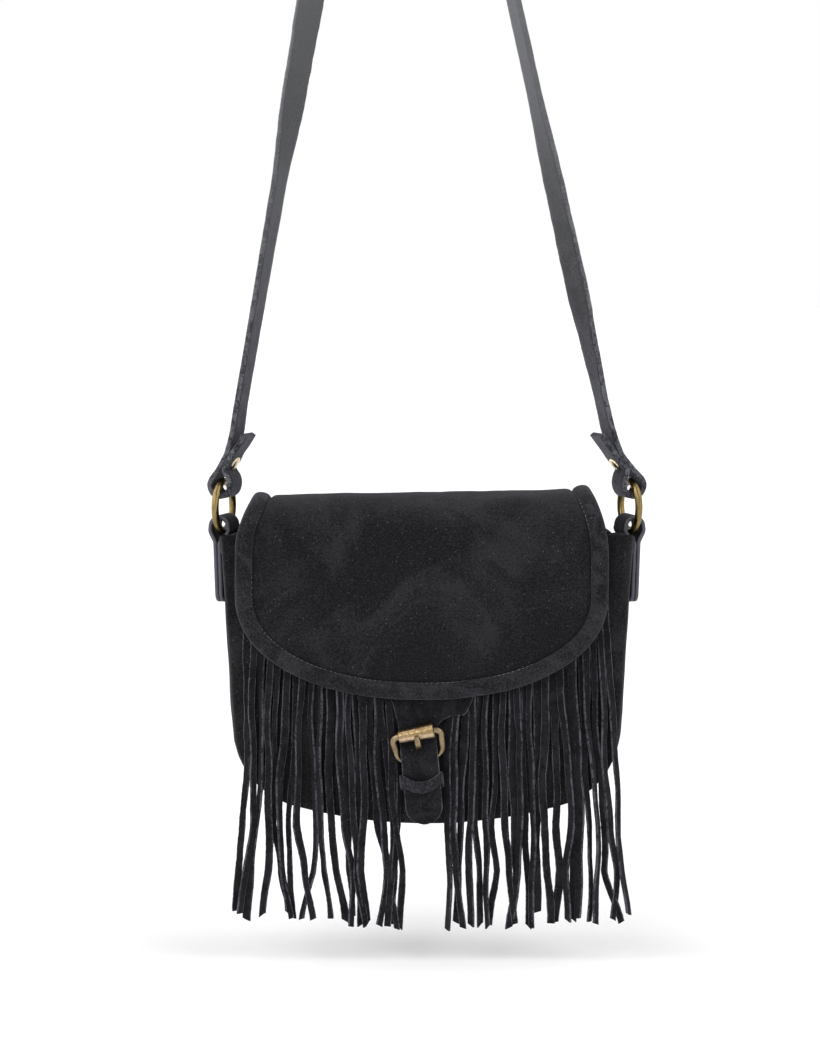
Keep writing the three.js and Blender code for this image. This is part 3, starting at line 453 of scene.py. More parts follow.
def flap_edge():
    """The flap's free edge from the back on the right, round the front and to the back on the left."""
    right = []
    for i in range(60):
        s = lerp(arch_end - 1, flap_curve_height, i / 60)
        right.append(Vector((flap_half_width_at(s), s)))
    for i in range(90):
        angle = pi / 2 * i / 89
        across = max(0, cos(angle)) ** (2 / flap_roundness)
        along = sin(angle) ** (2 / flap_roundness)
        right.append(Vector((flap_half_width * across, flap_curve_height - flap_drop * along)))
    left = [Vector((-p.x, p.y)) for p in right[-2::-1]]
    return spaced(right + left, edge_steps)


edge_line = flap_edge()
edge_tree = kdtree.KDTree(len(edge_line))
for index, spot in enumerate(edge_line):
    edge_tree.insert((spot.x, spot.y, 0), index)
edge_tree.balance()


def flap_relief(x, s):
    """How far the flap's face stands out of its flat shape."""
    from_edge = edge_tree.find((x - flap_shift, s, 0))[2]
    valley = -1.5 * exp(-(((from_edge - binding_width) / 2.0) ** 2))
    swell = 0.9 * ripple(x, 0, s, 44, 3) + 0.45 * ripple(x, 0, s, 19, 5) + 0.12 * ripple(x, 0, s, 6, 4)
    free = smooth_step(from_edge, 9, 26)
    over_closure = 0.8 * exp(-(((x + 5) / 26) ** 2)) * smooth_step(s, 112, 84)
    return valley + free * (swell + over_closure)


def flap_place(u, v):
    share = sin(pi / 2 * (2 * u - 1))
    s = lerp(flap_start, flap_foot_at(share) + 2.2, v)
    x = flap_shift + share * (flap_half_width_at(s) - 2.2)
    return on_flap(x, s, flap_thickness / 2 + flap_relief(x, s))


flap = skin("flap_suede", 150, 190, flap_place)
thickened(flap, (0, -1, 0), flap_thickness)
fitted(flap, "bag", [black_suede], ["flap"])

# Flap binding
# A strip of suede folded round the flap's free edge over its turned rim, so that it stands up as a soft
# round roll. A line of black thread runs along its inner edge and draws both down into a groove.

roll_half_width = binding_width / 2
roll_half_height = 2.9
stitch_pitch = 2.9
stitch_inset = 8.9
stitch_length = 1.7
stitch_radius = 0.36
stitch_lift = 0.75

raw_edge = suede("cut_suede_edge", "#17171a", "#56575e", patch=12, contrast=0.9, grains=False, sheen=0.3)


def edge_frame(k):
    """A spot on the flap's edge and the direction in from it, in the flap's flat shape."""
    k = min(edge_steps, max(0, k))
    along = (edge_line[min(k + 2, edge_steps)] - edge_line[max(k - 2, 0)]).normalized()
    inward = Vector((along.y, -along.x))
    if edge_line[k].y > flap_curve_height:
        inward = Vector((-copysign(1, edge_line[k].x), 0))
    return edge_line[k], inward


def binding_place(u, v):
    k = round(u * edge_steps)
    spot, inward = edge_frame(k)
    turn = 2 * pi * v
    plump = 1 + 0.09 * ripple(k, 0, 0, 14, 1) + 0.05 * ripple(k, 0, v * 30, 5, 1)
    inset = roll_half_width * (1 + cos(turn)) - 0.25 * ripple(k, 0, 0, 23, 6)
    lift = roll_half_height * plump * sin(turn) * (1 - 0.14 * cos(turn))
    flat = spot + inward * inset
    return on_flap(flap_shift + flat.x, flat.y, lift)


# The roll's suede is a lighter copy of the bag's: painted light, for the round roll catching more light
# than the flat flap.
lit_binding_suede = suede("binding_suede_painted_lighter", "#0f0e10", "#313034", patch=24, contrast=0.7, sheen=0.22)
binding = skin("flap_binding_roll", edge_steps, 26, binding_place)
close_up(binding)
fitted(binding, "bag", [lit_binding_suede], ["flap_binding"])


# Waxed thread, or the dyed and rubbed edge of leather: a closed surface without a nap, faintly shiny.
def closed_surface(name, colour, roughness):
    material, tree, place = new_material(name)
    bump = bumped(tree, wavy(tree, place, 0.4, 2), 0.4, 0.1)
    surfaced(tree, {"Base Color": linear(colour), "Roughness": roughness, "Normal": bump})
    return material


def merged(name, pieces):
    choose(*pieces)
    bpy.ops.object.join()
    return named(bpy.context.object, name)


thread = closed_surface("waxed_black_thread", "#66666b", 0.4)
choose()
bpy.ops.mesh.primitive_uv_sphere_add(segments=8, ring_count=6, radius=stitch_radius * MM)
model = bpy.context.object
model.data.transform(Matrix.Diagonal((stitch_length / (2 * stitch_radius), 1, 1, 1)))
edge_length = sum((b - a).length for a, b in zip(edge_line, edge_line[1:]))
stitch_count = round(edge_length / stitch_pitch)
stitches = []
for i in range(6, stitch_count - 5):
    ends = []
    for shift in (-0.3, 0.3):
        spot, inward = edge_frame(round((i + 0.5 + shift) / stitch_count * edge_steps))
        flat = spot + inward * stitch_inset
        lift = flap_thickness / 2 + flap_relief(flap_shift + flat.x, flat.y) + stitch_lift
        ends.append(on_flap(flap_shift + flat.x, flat.y, lift))
    stitch = model.copy()
    stitch.data = model.data.copy()
    bpy.context.collection.objects.link(stitch)
    turned = (ends[1] - ends[0]).normalized().to_track_quat("X", "Z").to_matrix().to_4x4()
    stitch.data.transform(Matrix.Translation((ends[0] + ends[1]) / 2) @ turned)
    stitches.append(stitch)
bpy.data.objects.remove(model)
fitted(merged("flap_stitching", stitches), "bag", [thread])

# Fringe
# Two pieces of suede sewn under the flap, each cut into long strands that hang in front of the panel.
# The cuts leave paler raw edges. The strands curl, cross and cling, and end in ragged snips.

fringe_band_top = 131
fringe_band_bottom = 118
fringe_low_turn = 96
strand_width = 3.9
strand_steps = 150
hang_out = 2 * seam_gap + fringe_thickness / 2
second_layer = 1.55

# Each strand: across at the band, at the pouch's foot, 25 mm below it and at its end, and its end's height
left_strands = [
    (-96.5, -98.6, -101.3, -103.5, -47.5), (-92.2, -95.3, -97.3, -100.5, -48.2),
    (-87.7, -92, -94.2, -97.3, -52.3), (-83.2, -86.6, -86.1, -88.6, -49),
    (-78.7, -83.8, -79.1, -73.1, -51.3), (-74.2, -79, -78.5, -76.9, -48.5),
    (-69.7, -73.6, -73.6, -73.4, -51.8), (-65.2, -70.9, -67.1, -61.2, -51.4),
    (-61.2, -61.7, -61.7, -67.1, -51.8), (-57.2, -57.4, -56.9, -52.5, -51.2),
    (-53.2, -51.6, -49.8, -45.2, -53), (-49.2, -44.9, -41.7, -41.1, -55.6),
    (-45.7, -42.2, -43.8, -40.5, -50.5), (-42.2, -40.6, -38.4, -32.5, -55),
    (-38.7, -37.8, -35.1, -35.2, -55.6), (-35.7, -34.1, -35.7, -31.9, -54.1),
    (-33.2, -27, -22.1, -15.7, -57.2), (-30.6, -23.2, -22.7, -26.5, -55.2),
    (-28, -19.4, -18.4, -20.5, -55.8), (-25.4, -16.2, -12.9, -16.8, -56.2),
    (-22.8, -14.7, -16.8, -18.9, -55),
]
right_strands = [
    (15.2, 11, 10.6, 11.3, -57.6), (18.8, 14.1, 14.6, 20, -56.2), (22.4, 18.4, 17.3, 15.1, -54),
    (26, 22.7, 23.8, 24.9, -55.1), (29.6, 25.7, 27, 29.2, -55), (33.2, 30.8, 31.6, 33.5, -55.7),
    (36.8, 35.7, 38.4, 33.8, -55.6), (40.4, 41.6, 43.3, 48.1, -54), (44, 47.4, 48.1, 44.3, -56.8),
    (47.6, 49.7, 50.2, 46.4, -55.1), (51.2, 53, 53.5, 55.1, -56), (54.8, 56.4, 56.7, 57.2, -56.1),
    (58.4, 59.4, 60, 60.5, -48), (62, 64.1, 64.6, 65.9, -54.1), (65.6, 70.5, 72.4, 69.7, -54),
    (69.2, 77, 76.1, 77.8, -52.4), (72.8, 80, 80.5, 79.9, -52.3), (76.4, 82.7, 83.5, 82.6, -51.3),
    (80, 88, 88.6, 87.5, -53.5), (83.8, 90.8, 92.1, 92.4, -54), (87.6, 95.2, 95.2, 106.2, -53.5),
    (91.6, 99, 101.6, 100.5, -51.8), (95.2, 103.8, 105.9, 110.2, -49.5),
]
outer_edge_height = 108


def ribbon(name, path, across, width, thickness, flat=2, fuzz=0.12, seed=0, snip=0.0):
    """A cut strip of leather with eased corners; across and width give each place along it its own."""
    steps = len(path) - 1
    half = thickness / 2
    ease = min(0.5, half * 0.55)
    inner = [1 - 2 * i / flat for i in range(1, flat)]
    section = [(1, half, -ease)] + [(w, half, 0) for w in inner]
    section += [(-1, half, ease), (-1, half - ease, 0), (-1, ease - half, 0), (-1, -half, ease)]
    section += [(-w, -half, 0) for w in inner]
    section += [(1, -half, -ease), (1, ease - half, 0), (1, half - ease, 0)]
    count = len(section)

    def place(u, v):
        k = round(u * steps)
        w, t, eased = section[round(v * count) % count]
        ahead = path[min(k + 1, steps)] - path[max(k - 1, 0)]
        ahead.normalize()
        side = across(k)
        side = (side - ahead * side.dot(ahead)).normalized()
        out = ahead.cross(side)
        rough = fuzz * ripple(k, w * 50, seed * 11, 1.3) + 2.2 * fuzz * ripple(k, w * 50, seed * 7, 9)
        reach = w * (width(k) / 2 + rough) + eased
        end = snip * w if k == steps else 0
        return path[k] + (side * reach + out * t + ahead * end) * MM

    strip = skin(name, steps, count, place)
    for face in strip.data.polygons:
        j = round((sum(strip.data.uv_layers[0].data[i].uv.y for i in face.loop_indices) / 4) * count - 0.5)
        pair = (section[j % count][0], section[(j + 1) % count][0])
        face.material_index = 1 if abs(pair[0] + pair[1]) == 2 else 0
    close_up(strip)
    return strip


def fringe_depth(x, z, layer):
    """How far in front of the middle plane a strand lies, on the panel below and under the flap above."""
    band_out = layers_under_flap - seam_gap - fringe_thickness / 2 - 0.2
    share = min(1, max(0, (z - fringe_low_turn) / (fringe_band_bottom - fringe_low_turn)))
    below = hang_out + layer * second_layer * (1 - share)
    return panel_depth_at(x, max(z, 0)) + lerp(below, band_out, share)


def strand(number, route):
    chance = random.Random(number)
    top, foot, low, end, end_height = route
    layer = number % 2
    heights = [fringe_band_bottom + 2, outer_edge_height, 0, -25, end_height]
    spots = [top, lerp(top, foot, 0.12), foot, low, end]
    phase = chance.uniform(0, 6.28)
    sway = chance.uniform(0.5, 1.5)
    path = []
    for i in range(strand_steps + 1):
        z = lerp(heights[0], end_height, i / strand_steps)
        band = next(j for j in range(4) if z >= heights[j + 1] or j == 3)
        share = (z - heights[band]) / (heights[band + 1] - heights[band])
        bent = share if band < 2 else (share + smooth_step(share, 0, 1)) / 2
        x = lerp(spots[band], spots[band + 1], bent)
        hung = smooth_step(z, 118, 40)
        x += sway * hung * sin(z / 21 + phase) + 0.35 * hung * sin(z / 7.5 + 2 * phase)
        free = smooth_step(z, 10, -45)
        out = fringe_depth(x, z, layer) - free * 1.2 * sin(z / 15 + phase)
        path.append(on_bag(x, -out, z))
    lean = chance.uniform(-0.75, 0.75)
    curl = chance.uniform(-0.5, 0.5)
    wide = strand_width * chance.uniform(0.82, 1.12)

    def across(k):
        share = k / strand_steps
        turn = (lean + curl * sin(5 * share + phase)) * smooth_step(share, 0.05, 0.35)
        return Vector((cos(turn), sin(turn), 0))

    def width(k):
        return wide * (1 + 0.08 * sin(k / 17 + phase))

    snip = chance.uniform(-1.6, 1.6)
    return ribbon("strand", path, across, width, fringe_thickness, fuzz=0.16, seed=number, snip=snip)


cut_suede = suede("fringe_suede_nap", "#0b0a0c", "#222125", patch=16, sheen=0.14)

for side_name, routes, first in (("left", left_strands, 0), ("right", right_strands, 40)):
    pieces = [strand(first + i, route) for i, route in enumerate(routes)]

    def band_place(u, v):
        x = lerp(routes[0][0] - 1.6, routes[-1][0] + 1.6, u)
        z = lerp(fringe_band_bottom - 1, fringe_band_top, v)
        return on_bag(x, -fringe_depth(x, z, 0) - fringe_thickness / 2, z)

    band = skin("band", 40, 6, band_place)
    thickened(band, (0, -1, 0), fringe_thickness)
    for piece in [band] + pieces:
        piece.data.materials.append(cut_suede)
        piece.data.materials.append(raw_edge)
    whole = merged(f"fringe_{side_name}_strands", [band] + pieces)
    fitted(whole, "bag", [], [f"fringe_{side_name}"], crease=40)

# Closure strap
# A strip of suede that flares where it is sewn under the flap, dives behind the buckle's roller, rises
# over the lower bar and lies on the chape in its keeper, ending in a round tip.

roller_height = 52.1
bar_spacing = 15.2
frame_wire = 1.8
roller_radius = 3.3
running_gap = 0.35
chape_leather = 1.6
keeper_leather = 1.3
keeper_height = 23
keeper_band = 6.4
closure_shift = -5.2
closure_tilt = radians(5)
closure_width = 20
closure_flare = 23
closure_hidden = 24
closure_tip = 1.6
chape_end = 8

bar_out = seam_gap + chape_leather + running_gap + frame_wire
strap_out = layers_under_flap - seam_gap - closure_thickness / 2
roller_out = strap_out + closure_thickness / 2 + 2 * running_gap + roller_radius
bar_drop = sqrt(bar_spacing**2 - (roller_out - bar_out) ** 2)
bar_height = roller_height - bar_drop
chape_outer = seam_gap + keeper_leather + 2 * seam_gap + 2 * chape_leather
over_bar = bar_out + frame_wire + running_gap + chape_leather + seam_gap + closure_thickness / 2
over_chape = chape_outer + seam_gap + closure_thickness / 2
closure_middle = Matrix.Translation(on_bag(closure_shift, 0, roller_height))
closure_place = closure_middle @ Matrix.Rotation(-closure_tilt, 4, "Y")


def in_closure(across, out, z):
    """A place in the closure, which leans a little: out is the distance in front of the panel."""
    depth = panel_depth_at(0, max(z, 0)) + out
    return closure_place @ (Vector((across, -depth, z - roller_height)) * MM)


def curve_through(points, count):
    """A smooth line through the points with count even steps."""
    points = [Vector(point) for point in points]
    dense = []
    for i in range(len(points) - 1):
        before = points[max(0, i - 1)]
        after = points[min(len(points) - 1, i + 2)]
        for step in range(arc_steps):
            t = step / arc_steps
            middle = points[i] * 2 + (points[i + 1] - before) * t
            bend = (before * 2 - points[i] * 5 + points[i + 1] * 4 - after) * t**2
            turn = (points[i] * 3 - before - points[i + 1] * 3 + after) * t**3
            dense.append((middle + bend + turn) / 2)
    dense.append(points[-1])
    return spaced(dense, count)


closure_stations = [
    (flap_tip_height + closure_hidden, strap_out), (flap_tip_height, strap_out),
    (roller_height + 11, strap_out + 0.6), (roller_height + 5, strap_out), (roller_height, strap_out - 0.5),
    (roller_height - roller_radius, strap_out + 0.4),
    (lerp(bar_height, roller_height, 0.4), lerp(over_bar, strap_out, 0.42)),
    (bar_height + 1, over_bar), (bar_height - 4, over_bar - 0.2), (keeper_height + 4.5, over_chape + 0.4),
    (keeper_height - 5, over_chape), (chape_end, over_chape + 0.2), (closure_tip, over_chape - 0.2),
]
closure_line = curve_through(closure_stations, 170)
closure_neck = flap_tip_height - 20
closure_mouth = 36


def closure_half_width(z):
    up_flare = min(1, max(0, (z - closure_neck) / (flap_tip_height + 2 - closure_neck)))
    flare = 1 - sqrt(1 - up_flare**2)
    widest = lerp(closure_mouth, closure_flare, smooth_step(z, flap_tip_height + 3, flap_tip_height + 9))
    tip_radius = closure_width / 2
    from_tip = min(1, (z - closure_tip) / tip_radius)
    round_off = sqrt(max(0.02, 1 - (1 - from_tip) ** 2))
    soft = 0.25 * ripple(z, 0, 0, 11, 8)
    return (tip_radius + soft) * round_off + (widest - tip_radius) * flare


def closure_lean(z):
    share = max(0, z - closure_neck) / (flap_tip_height - closure_neck)
    return min(share, 1) ** 2 * -closure_shift


def closure_across(k):
    return closure_place.to_3x3() @ Vector((1, 0, 0))


closure_strap = ribbon(
    "closure_strap_suede",
    [in_closure(closure_lean(s.x), s.y, s.x) for s in closure_line],
    closure_across, lambda k: 2 * closure_half_width(closure_line[k].x), closure_thickness,
    flat=10, fuzz=0.1, seed=3,
)
fitted(closure_strap, "bag", [cut_suede, raw_edge], ["closure_strap"])

# Chape and keeper
# The chape is a short strip folded round the buckle's lower bar and sewn to the panel. The keeper is a
# loop of thinner suede round strap and chape; it has stretched and hangs in a shallow curve.

chape_width = 18
chape_inner = chape_outer - 2 * chape_leather
eye_half = frame_wire + running_gap + chape_leather / 2
chape_back = chape_inner + chape_leather / 2
chape_front = chape_outer - chape_leather / 2
chape_line = curve_through(
    [(chape_back, chape_end), (chape_back, bar_height - 7)]
    + arc((bar_out, bar_height), eye_half, pi, 0, 8)
    + [(chape_front, bar_height - 7), (chape_front, chape_end)],
    90,
)
chape = ribbon(
    "chape_suede", [in_closure(0, s.x, s.y) for s in chape_line],
    closure_across, lambda k: chape_width, chape_leather, flat=6, seed=5,
)
fitted(chape, "bag", [black_suede, raw_edge], ["closure_chape"])

keeper_half = closure_width / 2 + 2 * seam_gap + keeper_leather / 2
keeper_near = seam_gap + keeper_leather / 2
keeper_far = over_chape + closure_thickness / 2 + seam_gap + running_gap + keeper_leather / 2
keeper_middle = lerp(keeper_near, keeper_far, 0.5)
keeper_droop = 5.4
keeper_lift = 5.0
keeper_steps = 96
keeper_sides = 16


def boxy(value, power):
    """A sine or cosine made squarer, so that a circle becomes a box with round corners."""
    return copysign(abs(value) ** power, value)


keeper_ring = []
for i in range(keeper_steps):
    angle = 2 * pi * i / keeper_steps
    across = boxy(cos(angle), 0.35) * keeper_half
    share = (boxy(sin(angle), 0.5) + 1) / 2
    swell = share * (1 - (across / keeper_half) ** 2)
    out = lerp(keeper_near, keeper_far, share) + 1.3 * swell
    keeper_ring.append((across, out, keeper_height - keeper_droop * swell + keeper_lift * share))


def keeper_place(u, v):
    across, out, height = keeper_ring[round(u * keeper_steps) % keeper_steps]
    turn = 2 * pi * (round(v * keeper_sides) % keeper_sides) / keeper_sides
    up = boxy(sin(turn), 0.4) * keeper_band / 2
    outward = Vector((across * 0.55, out - keeper_middle)).normalized()
    outward *= boxy(cos(turn), 0.6) * keeper_leather / 2
    height += up + 0.12 * ripple(across, 0, up, 3)
    return in_closure(across + outward.x, out + outward.y, height)


keeper_suede = suede("keeper_suede_nap", "#17171a", "#36363b", patch=8, grains=False, sheen=0.3)
keeper = skin("keeper_suede", keeper_steps, keeper_sides, keeper_place)
for index, face in enumerate(keeper.data.polygons):
    face.material_index = 1 if index // keeper_steps in (3, 4, 11, 12) else 0
close_up(keeper)
fitted(keeper, "bag", [keeper_suede, raw_edge], ["closure_keeper"])

# Buckle
# A cast frame of round brass wire with soft corners, narrower towards its lower bar. A rolled tube turns
# on the upper bar, and a flat prong sits on the lower one. The brass is old and blotched with brown.

frame_inner_width = 22.6
frame_tilt = radians(6)
roller_length = 19.6
prong_width = 3.4
frame_top_corner = 3.2
frame_foot_corner = 6
frame_steps = 200

roller_spot = Vector((0, -(panel_depth_at(0, roller_height) + roller_out), 0))
bar_spot = Vector((0, -(panel_depth_at(0, bar_height) + bar_out), bar_height - roller_height))
buckle_lean = atan2(bar_spot.y - roller_spot.y, roller_spot.z - bar_spot.z)
buckle_place = (
    closure_place
    @ Matrix.Translation((roller_spot + bar_spot) / 2 * MM)
    @ Matrix.Rotation(-frame_tilt, 4, "Y")
    @ Matrix.Rotation(buckle_lean, 4, "X")
    @ Matrix.Translation((0, 0, bar_spacing / 2 * MM))
)


def in_buckle(x, y, z):
    """A place on the buckle, measured from the middle of its upper bar."""
    return buckle_place @ (Vector((x, y, z)) * MM)


# Old brass is copper and zinc gone brown in the air and rubbed bright where it is handled.
def old_brass(name, bright, brown, patina=0.55, scale=5.0, painted_top_shade=None):
    material, tree, place = new_material(name)
    stains = wavy(tree, place, scale, 6, 0.65, 0.4)
    share = stretched(tree, stains, 0.38, 0.66, 0, patina)
    # With painted_top_shade given, everything above a level is painted browner: painted shade on the upper
    # half, so that the pale lower half stands for a reflection.
    if painted_top_shade:
        upward, level = painted_top_shade
        height = add_node(tree, "VectorMath", {0: place, 1: upward}, operation="DOT_PRODUCT")["Value"]
        top = stretched(tree, height, level + 0.1 * MM, level + 0.8 * MM, 0, 0.5)
        share = combined(tree, "ADD", share, top)
    looks = {
        "Base Color": blended(tree, share, linear(bright), linear(brown)),
        "Metallic": 1.0,
        "Roughness": stretched(tree, stains, 0.35, 0.7, 0.22, 0.5),
        "Normal": bumped(tree, wavy(tree, place, 0.7, 4), 0.25, 0.12),
    }
    surfaced(tree, looks)
    return material


buckle_brass = old_brass("buckle_old_brass", "#97866a", "#5c4d38")

frame_half = frame_inner_width / 2 + frame_wire
frame_foot_half = frame_half - 0.6
frame_corners = [
    (1, 0, frame_half, frame_top_corner), (-1, 0, frame_half, frame_top_corner),
    (-1, -bar_spacing, frame_foot_half, frame_foot_corner),
    (1, -bar_spacing, frame_foot_half, frame_foot_corner),
]
frame_loop = []
for quarter, (side, bar, half, radius) in enumerate(frame_corners):
    centre = (side * (half - radius), bar + (radius if bar else -radius))
    frame_loop += arc(centre, radius, pi / 2 * quarter, pi / 2 * (quarter + 1), 8)
frame_line = spaced(frame_loop, frame_steps, closed=True)


def frame_place(u, v):
    k = round(u * frame_steps) % frame_steps
    along = (frame_line[(k + 1) % frame_steps] - frame_line[(k - 1) % frame_steps]).normalized()
    out = Vector((along.y, -along.x))
    turn = 2 * pi * v
    wire = frame_wire * (1 + 0.03 * ripple(k, 0, 0, 9))
    flat = frame_line[k] + out * wire * cos(turn)
    return in_buckle(flat.x, wire * sin(turn), flat.y)


buckle_frame = skin("buckle_frame_wire", frame_steps, 24, frame_place)
close_up(buckle_frame)
fitted(buckle_frame, "bag", [buckle_brass], ["buckle_frame"])

roller_bore = frame_wire + 0.25
roller_taper = 0.05
roller_swell = 0.45
roller_rim = 0.5
roller_rows = 60
roller_end = roller_length / 2 - roller_rim
roller_profile = []
for start, finish, side in ((roller_bore, roller_radius, -1), (roller_radius, roller_bore, 1)):
    for i in range(9):
        along = side * (roller_end + roller_rim * sin(pi * i / 8))
        roller_profile.append(Vector((lerp(start, finish, i / 8), along)))
roller_line = spaced(roller_profile, roller_rows, closed=True)


def roller_place(u, v):
    spot = roller_line[round(u * roller_rows) % roller_rows]
    turn = 2 * pi * v
    seam = 0.22 * exp(-(((v - 0.62) / 0.012) ** 2)) if spot.x > roller_radius - 0.6 else 0
    outward = (spot.x - roller_bore) / (roller_radius - roller_bore)
    radius = spot.x - seam + (roller_swell + roller_taper * spot.y) * outward
    return in_buckle(spot.y, radius * cos(turn), radius * sin(turn))


roller_up = (buckle_place.to_3x3() @ Vector((0, 0, 1))).normalized()
roller_level = roller_up.dot(buckle_place.translation)
# The roller's pale bright colour and its browner upper half are painted light: a painted reflection of the
# bright floor on the lower half and painted shade above it. The blotches are patina.
roller_brass = old_brass(
    "roller_old_brass", "#c8b195", "#7d6639", patina=0.5, scale=2.0, painted_top_shade=(roller_up, roller_level)
)
roller = skin("buckle_roller_tube", roller_rows, 72, roller_place)
close_up(roller)
fitted(roller, "roller", [roller_brass], ["buckle_roller"], crease=35)

prong_rest = roller_radius + seam_gap + 0.85
prong_eye = frame_wire + running_gap
prong_points = [
    (-(prong_eye + 0.75), -bar_spacing - 0.5), (-(prong_eye - 0.5), -bar_spacing + 3), (-0.8, -9.5),
    (-2.6, -7.4), (-prong_rest, -4.8), (-prong_rest - 0.5, -1.8), (-prong_rest - 0.2, 0.6),
]
prong_line = curve_through(prong_points, 40)
prong_tongue = ribbon(
    "prong",
    [in_buckle(0, s.x, s.y) for s in prong_line],
    lambda k: buckle_place.to_3x3() @ Vector((1, 0, 0)),
    lambda k: prong_width * (1 - 0.3 * smooth_step(k, 32, 40)),
    1.7, flat=4, fuzz=0,
)
shaped_by(prong_tongue, "SUBSURF", levels=1, render_levels=1)


def prong_eye_place(u, v):
    turn = 2 * pi * u
    section = 2 * pi * v
    radius = prong_eye + 0.7 + 0.7 * cos(section)
    along = prong_width / 2 * boxy(sin(section), 0.5)
    return in_buckle(along, radius * cos(turn), radius * sin(turn) - bar_spacing)


prong_loop = skin("prong_eye", 32, 16, prong_eye_place)
close_up(prong_loop)
prong = merged("buckle_prong_bar", [prong_tongue, prong_loop])
fitted(prong, "bag", [buckle_brass], ["buckle_prong"])

# Ring tabs
# A strip of suede folded through each ring and sewn, both layers together, to the gusset's end. Its cut
# edges face the front and have been dyed and rubbed smooth, so that they look paler and bluish.

ring_radius = 13.4
ring_wire = 2
ring_height = 170.4
swing_range = radians(18)
fold_play = 0.85
tab_width = 16
tab_end = 118
tab_corner = 5
tab_eye_half = 4
tab_eye_shift = -1.2
tab_layer = (leather + seam_gap / 2) / 2

side_turn = atan2(front_top_half_width - back_top_half_width, 2 * mouth_half_depth)
both_sides = ((-1, "left"), (1, "right"))
top_half_widths = front_top_half_width + back_top_half_width
side_middle = top_half_widths / 2 + gusset_side_bow
tab_x = side_middle + (seam_gap + leather + seam_gap / 2) / cos(side_turn)
ring_x = tab_x + tab_eye_shift
side_lean = (top_half_widths - front_foot_half_width - back_foot_half_width) / (2 * pouch_height)


def fold_slack(width):
    return fold_play + width / 2 * sin(side_turn) * sin(swing_range)


def wire_span(width):
    height = sqrt(ring_radius**2 - (width / 2) ** 2)
    return height - ring_wire * ring_radius / height


smooth_edge = closed_surface("burnished_dyed_edge", "#4b4d55", 0.55)
tab_suede = suede("tab_suede_nap", "#111013", "#29282c", patch=22, grains=False, sheen=0.2)

tab_eye_top = -wire_span(tab_width) + fold_slack(tab_width)
tab_eye_middle = tab_eye_top - tab_eye_half
tab_bulge = tab_eye_half + leather / 2
wire_foot = -ring_radius - ring_wire
tab_foot = tab_end - ring_height
tab_line = curve_through(
    [
        (tab_layer, tab_foot), (tab_layer, -38), (tab_layer, wire_foot - 7),
        (tab_layer + 0.3, wire_foot - 3.2), (tab_eye_shift + tab_bulge, tab_eye_middle - 3),
        *arc((tab_eye_shift, tab_eye_middle), tab_bulge, 0, pi, 8),
        (tab_eye_shift - tab_bulge, tab_eye_middle - 3), (-tab_layer - 0.4, wire_foot - 4),
        (-tab_layer, wire_foot - 8), (-tab_layer, -38), (-tab_layer, tab_foot),
    ],
    260,
)


def beside(side, x, n, y, h, turn):
    """A place beside the ring on one side: n away from the bag's middle, h above the ring's centre."""
    angle = side * turn
    across = side * n
    return on_bag(
        side * x + across * cos(angle) - y * sin(angle),
        across * sin(angle) + y * cos(angle),
        ring_height + h,
    )


for side, side_name in both_sides:

    def tab_place(spot):
        below = max(0, pouch_height - gusset_dip - ring_height - spot.y)
        place = beside(side, tab_x, spot.x, 0, spot.y, side_turn)
        return place - Vector((side * below * side_lean * MM, 0, 0))

    def tab_reach(k):
        from_foot = tab_line[k].y - tab_foot
        cut = tab_corner - sqrt(max(0, tab_corner**2 - max(0, tab_corner - from_foot) ** 2))
        return tab_width - 2 * cut

    tab = ribbon(
        f"{side_name}_tab_suede",
        [tab_place(spot) for spot in tab_line],
        lambda k: Vector((-sin(side * side_turn), cos(side * side_turn), 0)),
        tab_reach, leather,
        flat=6, fuzz=0.06, seed=side + 20,
    )
    fitted(tab, "bag", [tab_suede, smooth_edge], [f"{side_name}_ring_tab"])

# Rings
# Closed rings of 4 mm brass wire, worn bright on the outside.

ring_brass = old_brass("ring_old_brass", "#8f7c52", "#574829", patina=0.5, scale=7.0)

for side, side_name in both_sides:
    low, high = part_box(f"{side_name}_ring")
    choose()
    bpy.ops.mesh.primitive_torus_add(
        major_segments=120, minor_segments=28, major_radius=ring_radius * MM, minor_radius=ring_wire * MM,
        location=(low + high) / 2, rotation=(0, pi / 2, side * side_turn),
    )
    ring = named(bpy.context.object, f"{side_name}_brass_ring")
    bpy.ops.object.transform_apply(location=True, rotation=True, scale=True)
    fitted(ring, f"{side_name}_ring", [ring_brass], [f"{side_name}_ring"])

# Shoulder strap
# One long strip of thick suede. Each end is folded through its ring from the outside, laid against the
# strap and riveted, with a short free tail. The strap twists as it hangs, and its raw edges are rough.

strap_width = 15
strap_thickness = 2.8
strap_eye_half = 4.5
strap_eye_shift = 0.5
fold_turn = side_turn + radians(3)
strap_drop = 520
hook_radius = 9
crown_radius = hook_radius + strap_thickness / 2
right_lean = 0.107
rivet_height = 25
crown_shift = -pouch_middle / MM
run_lean = atan2(4.8, 10.9)
fold_bottom = wire_span(strap_width) - fold_slack(strap_width) - strap_thickness / 2
fold_half = strap_eye_half + strap_thickness / 2
fold_middle = fold_bottom + fold_half
wire_top = ring_radius + ring_wire
join_height = wire_top + 4.9
layer_step = (strap_thickness + seam_gap) / cos(run_lean)
left_twist = [(59, 17), (115, 18), (170, 21), (226, 52), (282, 66), (350, 48), (440, 14), (520, 0)]
right_twist = [(59, 17), (87, 26), (115, 42), (143, 40), (170, 36), (226, 20), (282, 19), (520, 0)]


def run_at(h):
    return -0.6 + (h - join_height) * tan(run_lean)


def tail_at(h):
    return run_at(h) + layer_step


def strap_bow(h, near, far):
    """How far the strap stands in from its straight line, h above the ring's centre."""
    grown = lerp(near, far, min(1, max(0, (h - 45) / 235)))
    return grown * smooth_step(h, 15.5, 30) * smooth_step(h, 510, 300)


